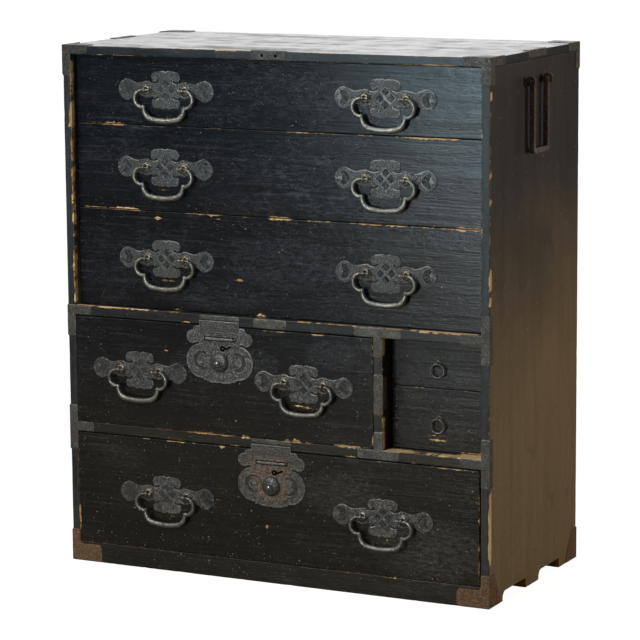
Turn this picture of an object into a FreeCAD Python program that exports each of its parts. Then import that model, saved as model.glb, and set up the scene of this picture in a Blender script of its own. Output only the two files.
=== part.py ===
import FreeCAD, Part
import math
import os
import re

import Sketcher

# Small tansu chest: a lacquered wooden case on crosswise feet, three full-width
# drawers set back in the upper bay, one locking drawer beside two small drawers
# in the middle bay, one locking drawer below, and forged iron fittings.
# Millimetres, +X to the right, +Y to the back, +Z up, Z = 0 on the floor.
# "frame_shift" puts the origin under the middle of the whole chest's box,
# fittings included; without it y = 0 is the middle of the wooden case.

doc = FreeCAD.newDocument("tansu_chest")
sheet = doc.addObject("Spreadsheet::Sheet", "Dims")

VALUES = [
    # case
    ("case_w", 818.0), ("case_d", 394.0), ("case_top", 930.0), ("board", 15.5),
    ("back_t", 12.0), ("frame_shift", 6.65),
    ("rail_depth", 47.0), ("rail_thick", 17.5),
    ("upper_rail_z", 451.0), ("lower_rail_z", 239.5), ("base_z", 36.5), ("base_depth", 22.0),
    ("bottom_t", 12.0), ("shelf_t", 10.0), ("thin_shelf", 7.0),
    ("post_x", 194.5), ("post_w", 17.0), ("post_panel", 12.0),
    # feet
    ("notch_rise", 17.0), ("notch_bend", 13.0),
    ("foot_front", -138.0), ("foot_mid_a", -36.0), ("foot_mid_b", 22.0), ("foot_rear", 117.0),
    # drawers
    ("upper_set", 17.0), ("small_set", 32.0), ("proud", 0.4),
    ("front_t", 20.0), ("small_front_t", 16.0), ("side_t", 10.0), ("floor_t", 6.0),
    ("split_a", 793.0), ("split_b", 642.5), ("split_small", 365.8), ("front_gap", 0.6),
    ("box_end", 178.0),
    # handles
    ("handle_x", 211.0), ("mid_handle_a", -263.0), ("mid_handle_b", 61.5), ("low_handle_x", 211.5),
    ("pull_z_a", 855.5), ("pull_z_b", 719.5), ("pull_z_c", 558.5), ("pull_z_d", 359.5), ("pull_z_e", 138.5),
    ("plate_t", 1.4), ("rosette_r", 9.3), ("rosette_t", 2.4), ("stud_x", 38.3), ("stud_r", 2.6),
    ("pivot_off", 9.5), ("eye_r", 4.6), ("eye_hole", 2.4), ("pin_r", 2.0), ("tip_x", 30.2), ("tip_r", 2.9),
    ("lobe_x", 42.5), ("lobe_r", 15.0), ("lobe_wire", 2.7),
    ("belly_x", 20.5), ("belly_z", 31.5), ("belly_r", 19.5), ("belly_wire", 3.9), ("belly_big", 115.0),
    # locks
    ("lock_a_x", -102.0), ("lock_b_x", -2.7), ("lock_drop", 65.5),
    ("dome_r", 16.5), ("dome_rise", 7.5), ("button_r", 4.25), ("button_bore", 4.3), ("button_proud", 4.8),
    ("bolt_w", 20.0), ("bolt_t", 4.0), ("bolt_len", 30.0),
    # iron work on the case
    ("iron_t", 1.2), ("band_w", 39.0),
    # carrying handles
    ("carry_y", -6.0), ("carry_z", 880.0), ("carry_leg", 30.25), ("carry_eye_y", 38.5), ("carry_bar", 9.0),
    ("carry_drop", 123.0), ("carry_off", 9.0), ("carry_pin", 3.9), ("carry_hole", 4.3), ("carry_eye_r", 9.0),
    # ring pulls
    ("ring_r", 12.0), ("ring_wire", 1.6), ("ring_off", 6.0), ("ring_x", 302.0), ("ring_z_a", 409.0), ("ring_z_b", 313.5),
]
for row, (alias, value) in enumerate(VALUES, start=1):
    sheet.set("A%d" % row, alias)
    sheet.set("B%d" % row, repr(value))
    sheet.setAlias("B%d" % row, alias)
doc.recompute()

NAMES = {alias for alias, _ in VALUES}
WORD = re.compile(r"[A-Za-z_][A-Za-z_0-9]*")


def size(alias):
    return float(sheet.get(alias))


def bound(text):
    """A formula in the sheet's words, as an expression of the document."""
    return WORD.sub(lambda w: "Dims." + w.group(0) if w.group(0) in NAMES else w.group(0), str(text))


def place(obj, x="0", y="0", z="0", rotation=None, base_shift=True):
    """Puts an object at a formula's point; the chest's own shift is added once."""
    if rotation is not None:
        obj.Placement = FreeCAD.Placement(FreeCAD.Vector(0, 0, 0), rotation)
    obj.setExpression(".Placement.Base.x", bound("(%s) * 1 mm" % x))
    obj.setExpression(".Placement.Base.y", bound(("(%s + frame_shift) * 1 mm" if base_shift else "(%s) * 1 mm") % y))
    obj.setExpression(".Placement.Base.z", bound("(%s) * 1 mm" % z))
    return obj


RX = FreeCAD.Rotation(FreeCAD.Vector(1, 0, 0), 90)     # local +Z towards the front
RY = FreeCAD.Rotation(FreeCAD.Vector(0, 1, 0), 90)     # local +Z to the right
serial = [0]


def fresh(kind, name):
    serial[0] += 1
    obj = doc.addObject(kind, "%s_%d" % (name, serial[0]))
    obj.Label = "%s_%d" % (name, serial[0])
    return obj


def box(name, x0, x1, y0, y1, z0, z1, base_shift=True):
    b = fresh("Part::Box", name)
    b.setExpression("Length", bound("((%s) - (%s)) * 1 mm" % (x1, x0)))
    b.setExpression("Width", bound("((%s) - (%s)) * 1 mm" % (y1, y0)))
    b.setExpression("Height", bound("((%s) - (%s)) * 1 mm" % (z1, z0)))
    return place(b, x0, y0, z0, None, base_shift)


def cylinder(name, radius, length, x, y, z, rotation=None, base_shift=True):
    c = fresh("Part::Cylinder", name)
    c.setExpression("Radius", bound("(%s) * 1 mm" % radius))
    c.setExpression("Height", bound("(%s) * 1 mm" % length))
    return place(c, x, y, z, rotation, base_shift)


def sphere(name, radius, x, y, z, base_shift=True):
    c = fresh("Part::Sphere", name)
    c.setExpression("Radius", bound("(%s) * 1 mm" % radius))
    return place(c, x, y, z, None, base_shift)


def fuse(name, shapes):
    f = fresh("Part::MultiFuse", name)
    f.Shapes = shapes
    f.Refine = True
    return f


def cut(name, base, tool):
    c = fresh("Part::Cut", name)
    c.Base = base
    c.Tool = tool
    c.Refine = True
    return c


def group(name, pieces):
    """Separate solids of one sub-part."""
    g = fresh("Part::Compound", name)
    g.Links = pieces
    return g


parts = {}


def keep(label, obj):
    """Names a sub-part; its Label is its file's name."""
    obj.Label = label
    parts[label] = obj
    return obj


def origin_plane(body, role):
    for feature in body.Origin.OriginFeatures:
        if feature.Role == role:
            return feature
    raise RuntimeError(role)


def sketch_on(body, role, name):
    sk = body.newObject("Sketcher::SketchObject", name)
    sk.AttachmentSupport = [(origin_plane(body, role), "")]
    sk.MapMode = "FlatFace"
    return sk


def corner_rectangle(sk, x0, y0, w, d):
    """A rectangle from a low corner, its four sizes bound to the sheet."""
    V = FreeCAD.Vector
    first = len(sk.Geometry)
    a, b, c, e = V(0, 0, 0), V(10, 0, 0), V(10, 10, 0), V(0, 10, 0)
    for p, q in ((a, b), (b, c), (c, e), (e, a)):
        sk.addGeometry(Part.LineSegment(p, q), False)
    for k in range(4):
        sk.addConstraint(Sketcher.Constraint("Coincident", first + k, 2, first + (k + 1) % 4, 1))
    sk.addConstraint(Sketcher.Constraint("Horizontal", first))
    sk.addConstraint(Sketcher.Constraint("Horizontal", first + 2))
    sk.addConstraint(Sketcher.Constraint("Vertical", first + 1))
    sk.addConstraint(Sketcher.Constraint("Vertical", first + 3))
    for kind, (g, pos), formula in (
        ("DistanceX", (first, 1), x0),
        ("DistanceY", (first, 1), y0),
    ):
        n = sk.addConstraint(Sketcher.Constraint(kind, -1, 1, g, pos, 0.0))
        sk.setExpression("Constraints[%d]" % n, bound("(%s) * 1 mm" % formula))
    n = sk.addConstraint(Sketcher.Constraint("DistanceX", first, 1, first, 2, 10.0))
    sk.setExpression("Constraints[%d]" % n, bound("(%s) * 1 mm" % w))
    n = sk.addConstraint(Sketcher.Constraint("DistanceY", first + 1, 1, first + 1, 2, 10.0))
    sk.setExpression("Constraints[%d]" % n, bound("(%s) * 1 mm" % d))


def circle_at(sk, x, y, r):
    g = sk.addGeometry(Part.Circle(FreeCAD.Vector(0, 0, 0), FreeCAD.Vector(0, 0, 1), 1.0), False)
    for kind, formula in (("DistanceX", x), ("DistanceY", y)):
        n = sk.addConstraint(Sketcher.Constraint(kind, -1, 1, g, 3, 0.0))
        sk.setExpression("Constraints[%d]" % n, bound("(%s) * 1 mm" % formula))
    n = sk.addConstraint(Sketcher.Constraint("Radius", g, 1.0))
    sk.setExpression("Constraints[%d]" % n, bound("(%s) * 1 mm" % r))


# ---------------------------------------------------------------- wooden case

FRONT = "(-case_d / 2)"
INNER = "(case_w / 2 - board)"
BACK_IN = "(case_d / 2 - back_t)"


def side_panel(label, sign):
    """A side board with two notches that leave three feet, each notch arched behind
    the foot in front of it and square at the next, and two holes for the carrying
    handle's eyes."""
    x0 = "case_w / 2 - board" if sign > 0 else "-case_w / 2"
    board = box("side", x0, "%s + board" % x0, FRONT, "case_d / 2", "0", "case_top - board")
    tools = []
    for y0, y1 in (("foot_front", "foot_mid_a"), ("foot_mid_b", "foot_rear")):
        tools.append(box("notch", "%s - 1" % x0, "%s + board + 1" % x0, y0, y1, "-1", "notch_rise - notch_bend"))
        tools.append(box("notch", "%s - 1" % x0, "%s + board + 1" % x0, "%s + notch_bend" % y0, y1, "-1", "notch_rise"))
        tools.append(cylinder("notch", "notch_bend", "board + 2", "%s - 1" % x0, "%s + notch_bend" % y0,
                              "notch_rise - notch_bend", RY))
    for t in (-1, 1):
        tools.append(cylinder("hole", "3.4", "board + 2", "%s - 1" % x0, "carry_y + %d * carry_eye_y" % t, "carry_z", RY))
    return keep(label, cut("side_cut", board, fuse("side_tools", tools)))


side_panel("side_panel_left", -1)
side_panel("side_panel_right", 1)

# the top board has two blind lock holes in its front edge
top = box("top", "-case_w / 2", "case_w / 2", FRONT, "case_d / 2", "case_top - board", "case_top")
top_holes = fuse("top_holes", [
    cylinder("hole", "2.2", "9", "%s" % x, FRONT + " + 9", "case_top - 7.7", RX) for x in ("-13", "13")])
keep("top_panel", cut("top_cut", top, top_holes))
keep("bottom_panel", box("bottom", "-" + INNER, INNER, FRONT + " + base_depth", BACK_IN, "base_z - bottom_t", "base_z"))
keep("base_rail", box("base", "-" + INNER, INNER, FRONT, FRONT + " + base_depth", "0", "base_z"))

boards = []
for k in range(4):
    x0 = "-%s + %s * case_w / 4 - %s * board / 2" % (INNER, k, k)
    x1 = "-%s + %s * case_w / 4 - %s * board / 2" % (INNER, k + 1, k + 1)
    boards.append(box("back", x0, x1, BACK_IN, "case_d / 2", "notch_rise + 3", "case_top - board"))
keep("back_panel", group("backs", boards))

keep("foot_bearers", group("feet", [
    box("bearer", "-" + INNER, INNER, FRONT + " + base_depth", "foot_front", "0", "base_z - bottom_t"),
    box("bearer", "-" + INNER, INNER, "foot_mid_a", "foot_mid_b", "0", "base_z - bottom_t"),
    box("bearer", "-" + INNER, INNER, "foot_rear", BACK_IN, "0", "base_z - bottom_t")]))


def rail(label, z, lock_x):
    """A front rail; its underside has the mortise that a lock's bolt rises into."""
    beam = box("rail", "-" + INNER, INNER, FRONT, FRONT + " + rail_depth", z, "%s + rail_thick" % z)
    mortise = box("mortise", "%s - bolt_w / 2 - 0.6" % lock_x, "%s + bolt_w / 2 + 0.6" % lock_x,
                  FRONT + " - proud + 12.4", FRONT + " - proud + 17.6", "%s - 1" % z, "%s + 8" % z)
    return keep(label, cut("rail_cut", beam, mortise))


rail("rail_upper", "upper_rail_z", "lock_a_x")
rail("rail_lower", "lower_rail_z", "lock_b_x")

post = box("post", "post_x", "post_x + post_w", FRONT, FRONT + " + rail_depth", "lower_rail_z + rail_thick", "upper_rail_z")
panel = box("panel", "post_x + post_w - post_panel", "post_x + post_w", FRONT + " + rail_depth", BACK_IN,
            "lower_rail_z + rail_thick", "upper_rail_z + rail_thick - shelf_t")
keep("divider", group("division", [post, panel]))

THIN_Y = FRONT + " + upper_set + front_t + 1"
SMALL_Y = FRONT + " + small_set + small_front_t + 0.8"
keep("dust_boards", group("dust", [
    box("dust", "-" + INNER, INNER, THIN_Y, BACK_IN, "split_a - thin_shelf / 2", "split_a + thin_shelf / 2"),
    box("dust", "-" + INNER, INNER, THIN_Y, BACK_IN, "split_b - thin_shelf / 2", "split_b + thin_shelf / 2"),
    box("dust", "-" + INNER, INNER, FRONT + " + rail_depth", BACK_IN, "upper_rail_z + rail_thick - shelf_t", "upper_rail_z + rail_thick"),
    box("dust", "-" + INNER, INNER, FRONT + " + rail_depth", BACK_IN, "lower_rail_z + rail_thick - shelf_t", "lower_rail_z + rail_thick"),
    box("dust", "post_x + post_w", INNER, SMALL_Y, BACK_IN, "split_small - thin_shelf / 2", "split_small + thin_shelf / 2")]))

# ---------------------------------------------------------------- iron on the case

OUT_F = "(-case_d / 2 - iron_t)"
OUT_B = "(case_d / 2 + iron_t)"
OUT_X = "(case_w / 2 + iron_t)"


def mirrored(sign, a, b):
    return (a, b) if sign > 0 else ("-(%s)" % b, "-(%s)" % a)


def bent(name, plates):
    return fuse(name, plates) if len(plates) > 1 else plates[0]


def top_corner(sx, back):
    """Sheet iron folded round one upper corner: face, side and top."""
    if back:
        yf, yin = ("case_d / 2", OUT_B), ("case_d / 2 - 38", OUT_B)
        ys_long, ys_leg = ("case_d / 2 - 52", OUT_B), ("case_d / 2 - 16", OUT_B)
    else:
        yf, yin = (OUT_F, FRONT), (OUT_F, FRONT + " + 35")
        ys_long, ys_leg = (OUT_F, FRONT + " + 61"), (OUT_F, FRONT + " + 20")
    arm = "case_w / 2 - 49"
    out = []
    for (xa, xb), (ya, yb), (za, zb) in (
        ((arm, OUT_X), yf, ("case_top - board", "case_top + iron_t")),
        ((INNER, OUT_X), yf, ("case_top - 50", "case_top + iron_t")),
        ((arm, OUT_X), yin, ("case_top", "case_top + iron_t")),
        (("case_w / 2", OUT_X), ys_long, ("case_top - board", "case_top + iron_t")),
        (("case_w / 2", OUT_X), ys_leg, ("case_top - 50", "case_top + iron_t")),
    ):
        a, b = mirrored(sx, xa, xb)
        out.append(box("iron", a, b, ya, yb, za, zb))
    return bent("corner", out)


def bottom_corner(sx, back):
    """Sheet iron folded round one lower corner: face and side, cut on a slant."""
    if back:
        yf, ys, ys2 = ("case_d / 2", OUT_B), ("case_d / 2 - 20", OUT_B), ("case_d / 2 - 46", OUT_B)
    else:
        yf, ys, ys2 = (OUT_F, FRONT), (OUT_F, FRONT + " + 25"), (OUT_F, FRONT + " + 46")
    out = []
    for (xa, xb), (ya, yb), (za, zb) in (
        ((INNER, OUT_X), yf, ("0.5", "58")),
        (("case_w / 2 - 60", OUT_X), yf, ("0.5", "32")),
        (("case_w / 2", OUT_X), ys, ("0.5", "58")),
        (("case_w / 2", OUT_X), ys2, ("0.5", "30")),
    ):
        a, b = mirrored(sx, xa, xb)
        out.append(box("iron", a, b, ya, yb, za, zb))
    return bent("corner", out)


keep("corner_irons_top", group("irons", [top_corner(s, b) for s in (-1, 1) for b in (False, True)]))
keep("corner_irons_bottom", group("irons", [bottom_corner(s, b) for s in (-1, 1) for b in (False, True)]))

straps = []
for s in (-1, 1):
    a, b = mirrored(s, "case_w / 2", OUT_X)
    side = box("strap", a, b, "-33", "43", "case_top - 12", "case_top + iron_t")
    a, b = mirrored(s, "case_w / 2 - 12", OUT_X)
    straps.append(fuse("edge_strap", [side, box("strap", a, b, "-33", "43", "case_top", "case_top + iron_t")]))


def stile_strap(sx, z0, z1, rail_z, arm_x):
    """A tee of sheet iron that ties a rail to a side board, folded round the edge."""
    out = []
    a, b = mirrored(sx, INNER, OUT_X)
    out.append(box("strap", a, b, OUT_F, FRONT, z0, z1))
    a, b = mirrored(sx, arm_x, INNER + " + 1")
    out.append(box("strap", a, b, OUT_F, FRONT, "%s" % rail_z, "%s + rail_thick" % rail_z))
    a, b = mirrored(sx, "case_w / 2", OUT_X)
    out.append(box("strap", a, b, OUT_F, FRONT + " + 14", z0, z1))
    return fuse("stile_strap", out)


straps.append(stile_strap(-1, "412", "469", "upper_rail_z", "361"))
straps.append(stile_strap(-1, "205", "287", "lower_rail_z", "360"))
straps.append(stile_strap(1, "418", "501", "upper_rail_z", "355"))
straps.append(stile_strap(1, "208", "292", "lower_rail_z", "355"))
straps.append(box("strap", "-36", "29", OUT_F, FRONT, "upper_rail_z", "upper_rail_z + rail_thick"))
keep("frame_straps", group("straps", straps))

cheek = "post_x + post_w"
keep("divider_straps", group("post_straps", [
    fuse("tee", [box("strap", "158", "247", OUT_F, FRONT, "upper_rail_z", "upper_rail_z + rail_thick"),
                 box("strap", "post_x", cheek, OUT_F, FRONT, "416.5", "upper_rail_z + 1")]),
    fuse("mid", [box("strap", "post_x", cheek + " + iron_t", OUT_F, FRONT, "317", "388"),
                 box("strap", cheek, cheek + " + iron_t", OUT_F, FRONT + " + 16", "327", "383")]),
    fuse("tee", [box("strap", "164", "243", OUT_F, FRONT, "lower_rail_z", "lower_rail_z + rail_thick"),
                 box("strap", "post_x", cheek, OUT_F, FRONT, "lower_rail_z + 1", "288.5")])]))

lock_face = fuse("lock_face", [
    box("plate", "-34", "33", OUT_F, FRONT, "case_top - board", "case_top + iron_t"),
    box("plate", "-34", "33", OUT_F, FRONT + " + 9", "case_top", "case_top + iron_t")])
keep("strike_plates", group("strikes", [
    cut("lock_face_cut", lock_face, fuse("holes", [
        cylinder("hole", "2.2", "6", x, FRONT + " + 3", "case_top - 7.7", RX) for x in ("-13", "13")])),
    box("band", "lock_a_x - band_w", "lock_a_x + band_w", OUT_F, FRONT, "upper_rail_z + 8.4", "upper_rail_z + rail_thick"),
    box("band", "lock_b_x - band_w", "lock_b_x + band_w", OUT_F, FRONT, "lower_rail_z + 8.4", "lower_rail_z + rail_thick")]))

# ---------------------------------------------------------------- carrying handles

eyes = []
for s in (-1, 1):
    px = "%d * (case_w / 2 + carry_off)" % s
    for t in (-1, 1):
        py = "carry_y + %d * carry_eye_y" % t
        ring = cylinder("eye", "carry_eye_r", "6", px, py + " + 3", "carry_z", RX)
        a, b = mirrored(s, "case_w / 2 - board", "case_w / 2 + 4")
        shank = cylinder("shank", "3.4", "board + 4", a, py, "carry_z", RY)
        a, b = mirrored(s, "case_w / 2", "case_w / 2 + 1.2")
        washer = box("washer", a, b, py + " - 6", py + " + 6", "carry_z - 6", "carry_z + 6")
        hole = cylinder("hole", "carry_hole", "12", px, py + " + 6", "carry_z", RX)
        eyes.append(cut("eye_cut", fuse("eye_all", [ring, shank, washer]), hole))
keep("carry_eyes", group("eyes", eyes))

for label, s in (("carry_handle_left", -1), ("carry_handle_right", 1)):
    px = "%d * (case_w / 2 + carry_off)" % s
    pieces = []
    for t in (-1, 1):
        leg_y = "carry_y + %d * carry_leg" % t
        pieces.append(box("leg", px + " - carry_bar / 2", px + " + carry_bar / 2", leg_y + " - carry_bar / 2",
                          leg_y + " + carry_bar / 2", "carry_z - carry_drop", "carry_z"))
        pieces.append(cylinder("knuckle", "carry_bar / 2", "carry_bar", px, leg_y + " + carry_bar / 2", "carry_z", RX))
        pin_end = leg_y if t < 0 else leg_y + " + 14.5"
        pieces.append(cylinder("pin", "carry_pin", "14.5", px, pin_end, "carry_z", RX))
    pieces.append(box("grip", px + " - carry_bar / 2", px + " + carry_bar / 2", "carry_y - carry_leg", "carry_y + carry_leg",
                      "carry_z - carry_drop", "carry_z - carry_drop + carry_bar"))
    keep(label, fuse("carry", pieces))

# ---------------------------------------------------------------- drawer fittings

def plate_outline(name, ft):
    """The pull's scalloped back plate: crown, lower lobe, two necks and two wings,
    with four lozenge windows. Local frame: pivot line's middle, face at y = 0."""
    discs = [
        # x, z, radius
        (78.5, -0.5, 17.5), (38.3, 0.0, 15.0), (18.5, 22.5, 9.6), (7.0, 22.3, 10.6), (18.0, -23.0, 9.6), (7.0, -22.5, 11.0),
    ]
    solids = []
    for x, z, r in discs:
        for s in (-1, 1):
            solids.append(cylinder(name, r, "plate_t", s * x, "0", z, RX, False))
    solids.append(box(name, "-70", "70", "-plate_t", "0", "-9", "11", False))
    solids.append(box(name, "-22", "22", "-plate_t", "0", "-18", "17", False))
    whole = fuse(name + "_all", solids)
    tools = []
    for x, z in ((0, 9.2), (-10.4, -0.4), (10.4, -0.4), (0, -10.0)):
        w = fresh("Part::Box", name + "_window")
        w.Length, w.Width, w.Height = 8.2, 6.0, 8.2
        c = FreeCAD.Rotation(FreeCAD.Vector(0, 1, 0), 45)
        off = c.multVec(FreeCAD.Vector(-4.1, -3.0, -4.1))
        w.Placement = FreeCAD.Placement(FreeCAD.Vector(x, 0, z) + off, c)
        tools.append(w)
    for s in (-1, 1):
        tools.append(cylinder(name, "stud_r + 0.05", "6", "%d * stud_x" % s, "3", "0", RX, False))
    return cut(name + "_cut", whole, fuse(name + "_tools", tools))


def pull_fittings(name, ft):
    """One pull's fixed iron: plate, two rosettes and two split studs with eyes,
    whose legs are clinched behind the drawer front."""
    out = [plate_outline(name + "_plate", ft)]
    for s in (-1, 1):
        sx = "%d * stud_x" % s
        cone = fresh("Part::Cone", name + "_rosette")
        cone.setExpression("Radius1", bound("rosette_r * 1 mm"))
        cone.setExpression("Radius2", bound("(rosette_r - 3) * 1 mm"))
        cone.setExpression("Height", bound("rosette_t * 1 mm"))
        place(cone, sx, "-plate_t", "0", RX, False)
        out.append(cut(name + "_ros", cone, cylinder(name, "stud_r + 0.05", "8", sx, "2", "0", RX, False)))
        shank = cylinder(name, "stud_r", "pivot_off + %s" % ft, sx, ft, "0", RX, False)
        eye = sphere(name, "eye_r", sx, "-pivot_off", "0", False)
        clinch = box(name, sx + " - 8", sx + " + 8", ft, ft + " + 1.6", "-2", "2", False)
        hole = cylinder(name, "eye_hole", "20", sx + " - 10", "-pivot_off", "0", RY, False)
        out.append(cut(name + "_stud", fuse(name + "_stud_all", [shank, eye, clinch]), hole))
    return out


def bail(label, x, face, z):
    """A forged bail: two thin round ends, two small lobes and a heavy belly, with
    a cusp between them. It hangs from the studs' eyes in front of the face."""
    n = label
    pieces = []
    top_angle = -math.degrees(math.asin((size("belly_z") - size("lobe_r")) / 1.0 / max(size("belly_z"), 1.0)))
    bx, bz, br, big = size("belly_x"), size("belly_z"), size("belly_r"), size("belly_big")
    drop = 53.0
    big_c = -drop + big
    tangent = math.degrees(math.atan2(-bz - big_c, bx))          # direction from the big arc's centre
    for s in (-1, 1):
        # round end that turns in the stud's eye, with a ball tip
        start = "tip_x" if s > 0 else "-lobe_x"
        pieces.append(cylinder(n, "pin_r", "lobe_x - tip_x", start, "0", "0", RY, False))
        pieces.append(sphere(n, "tip_r", "%d * tip_x" % s, "0", "0", False))

        def ring(cx, cz, radius, wire, a0, a1):
            # an arc of round bar in the plane y = 0, from angle a0 to a1, on side s
            t = fresh("Part::Torus", n)
            t.setExpression("Radius1", bound("(%s) * 1 mm" % radius))
            t.setExpression("Radius2", bound("(%s) * 1 mm" % wire))
            t.Angle3 = a1 - a0
            if s > 0:
                start_at = a0
            else:
                start_at = 180.0 - a1
            turn = FreeCAD.Rotation(FreeCAD.Vector(1, 0, 0), 90).multiply(FreeCAD.Rotation(FreeCAD.Vector(0, 0, 1), start_at))
            place(t, "%d * (%s)" % (s, cx), "0", cz, turn, False)
            return t

        pieces.append(ring("lobe_x", "-lobe_r", "lobe_r", "lobe_wire", -98.0, 90.0))
        pieces.append(ring("belly_x", "-belly_z", "belly_r", "belly_wire", tangent, 8.0))
        pieces.append(sphere(n, "lobe_wire + 0.7", "%d * (lobe_x - 2.1)" % s, "0", "-2 * lobe_r + 0.3", False))
        pieces.append(sphere(n, "pin_r + 0.35", "%d * (lobe_x + 0.9)" % s, "0", "-0.2", False))
    arc = fresh("Part::Torus", n)
    arc.setExpression("Radius1", bound("belly_big * 1 mm"))
    arc.setExpression("Radius2", bound("belly_wire * 1 mm"))
    span = 2 * (90.0 + tangent)
    arc.Angle3 = span
    turn = FreeCAD.Rotation(FreeCAD.Vector(1, 0, 0), 90).multiply(FreeCAD.Rotation(FreeCAD.Vector(0, 0, 1), -90.0 - span / 2))
    place(arc, "0", "0", "belly_big - 53", turn, False)
    pieces.append(arc)
    b = fuse(n + "_bail", pieces)
    place(b, x, face + " - pivot_off", z)
    return keep(label, b)


def drawer_front(label, x0, x1, face, z0, z1, thick, studs, lock_x=None, rings=()):
    """A front board with through holes for its studs, and a lock's cavity."""
    body = doc.addObject("PartDesign::Body", label + "_body")
    sk = sketch_on(body, "XZ_Plane", label + "_outline")
    corner_rectangle(sk, "0", "0", "(%s) - (%s)" % (x1, x0), "(%s) - (%s)" % (z1, z0))
    pad = body.newObject("PartDesign::Pad", label + "_pad")
    pad.Profile = sk
    pad.setExpression("Length", bound("(%s) * 1 mm" % thick))
    pad.Reversed = True
    body.Tip = pad
    place(body, x0, face, z0)
    doc.recompute()
    if body.Shape.BoundBox.YMin < size("frame_shift") + number_of(face) - 0.01:
        raise RuntimeError(label + ": the board is on the wrong side of its face")
    full = body.Shape.Volume
    holes = sketch_on(body, "XZ_Plane", label + "_holes")
    for sx, sz, r in studs:
        circle_at(holes, "(%s) - (%s)" % (sx, x0), "(%s) - (%s)" % (sz, z0), r)
    drill = body.newObject("PartDesign::Pocket", label + "_drill")
    drill.Profile = holes
    drill.Type = "ThroughAll"
    drill.Midplane = True
    body.Tip = drill
    doc.recompute()
    if body.Shape.Volume > full - 100:
        raise RuntimeError(label + ": the stud holes cut nothing")
    if lock_x is None:
        return keep(label, body)
    full = body.Shape.Volume
    shaft = sketch_on(body, "XZ_Plane", label + "_button_hole")
    circle_at(shaft, "(%s) - (%s)" % (lock_x, x0), "(%s) - (%s)" % (z1, z0) + " + front_gap * 2 - lock_drop", "button_r + 0.35")
    bore = body.newObject("PartDesign::Pocket", label + "_button_bore")
    bore.Profile = shaft
    bore.Length = 17.0
    bore.Reversed = True
    body.Tip = bore
    doc.recompute()
    if body.Shape.Volume > full - 100:
        bore.Reversed = False
        doc.recompute()
    if body.Shape.Volume > full - 100:
        raise RuntimeError(label + ": the button's bore cuts nothing")
    # the bolt's slot opens in the top edge
    full = body.Shape.Volume
    slot_sk = sketch_on(body, "XY_Plane", label + "_bolt_outline")
    corner_rectangle(slot_sk, "(%s) - (%s) - bolt_w / 2 - 0.4" % (lock_x, x0), "12.6", "bolt_w + 0.8", "bolt_t + 0.8")
    slot_sk.AttachmentOffset = FreeCAD.Placement(FreeCAD.Vector(0, 0, 0), FreeCAD.Rotation())
    slot_sk.setExpression(".AttachmentOffset.Base.z", bound("((%s) - (%s)) * 1 mm" % (z1, z0)))
    slot = body.newObject("PartDesign::Pocket", label + "_bolt_slot")
    slot.Profile = slot_sk
    slot.setExpression("Length", bound("(bolt_len + 2) * 1 mm"))
    body.Tip = slot
    doc.recompute()
    if body.Shape.Volume > full - 100:
        raise RuntimeError(label + ": the bolt's slot cuts nothing")
    return keep(label, body)


def number_of(formula):
    """The number that a formula in the sheet's words stands for."""
    probe = doc.getObject("Probe") or doc.addObject("Part::Box", "Probe")
    probe.setExpression(".Placement.Base.x", bound("(%s) * 1 mm" % formula))
    probe.recompute()
    return probe.Placement.Base.x


def drawer_box(label, x0, x1, y0, y1, z0, z1, side="side_t"):
    """Two sides, a back and a floor behind a drawer front, butted together."""
    left = box("side", x0, "%s + %s" % (x0, side), y0, y1, z0, z1)
    right = box("side", "%s - %s" % (x1, side), x1, y0, y1, z0, z1)
    back = box("back", "%s + %s" % (x0, side), "%s - %s" % (x1, side), "%s - %s" % (y1, side), y1, "%s + floor_t" % z0, z1)
    floor = box("floor", "%s + %s" % (x0, side), "%s - %s" % (x1, side), y0, y1, z0, "%s + floor_t" % z0)
    return keep(label, group("box", [left, right, back, floor]))


UPPER_FACE = "(-case_d / 2 + upper_set)"
FLUSH_FACE = "(-case_d / 2 - proud)"
SMALL_FACE = "(-case_d / 2 + small_set)"
IN_L, IN_R = "-" + INNER, INNER
RAIL_A = "(upper_rail_z + rail_thick)"
RAIL_B = "(lower_rail_z + rail_thick)"

DRAWERS = [
    # name, x0, x1, face, z0, z1, box z0, box z1, pull height, pull xs, lock x
    ("drawer_top", IN_L + " + 1.5", IN_R + " - 1.5", UPPER_FACE, "split_a + front_gap", "case_top - board - 1.1",
     "split_a + thin_shelf / 2 + 0.8", "case_top - board - 7", "pull_z_a", ("-handle_x", "handle_x"), None),
    ("drawer_second", IN_L + " + 1.5", IN_R + " - 1.5", UPPER_FACE, "split_b + front_gap", "split_a - front_gap",
     "split_b + thin_shelf / 2 + 0.8", "split_a - 8", "pull_z_b", ("-handle_x - 4", "handle_x"), None),
    ("drawer_third", IN_L + " + 1.5", IN_R + " - 1.5", UPPER_FACE, RAIL_A + " + 0.8", "split_b - front_gap",
     RAIL_A + " + 0.8", "split_b - 8", "pull_z_c", ("-handle_x - 4", "handle_x"), None),
    ("drawer_middle", IN_L + " + 0.9", "post_x - 1.2", FLUSH_FACE, RAIL_B + " + 0.8", "upper_rail_z - front_gap * 2",
     RAIL_B + " + 0.8", "upper_rail_z - 5", "pull_z_d", ("mid_handle_a", "mid_handle_b"), "lock_a_x"),
    ("drawer_bottom", IN_L + " + 0.9", IN_R + " - 2.6", FLUSH_FACE, "base_z + 0.8", "lower_rail_z - front_gap * 2",
     "base_z + 0.8", "lower_rail_z - 5", "pull_z_e", ("-low_handle_x", "low_handle_x"), "lock_b_x"),
]

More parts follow.
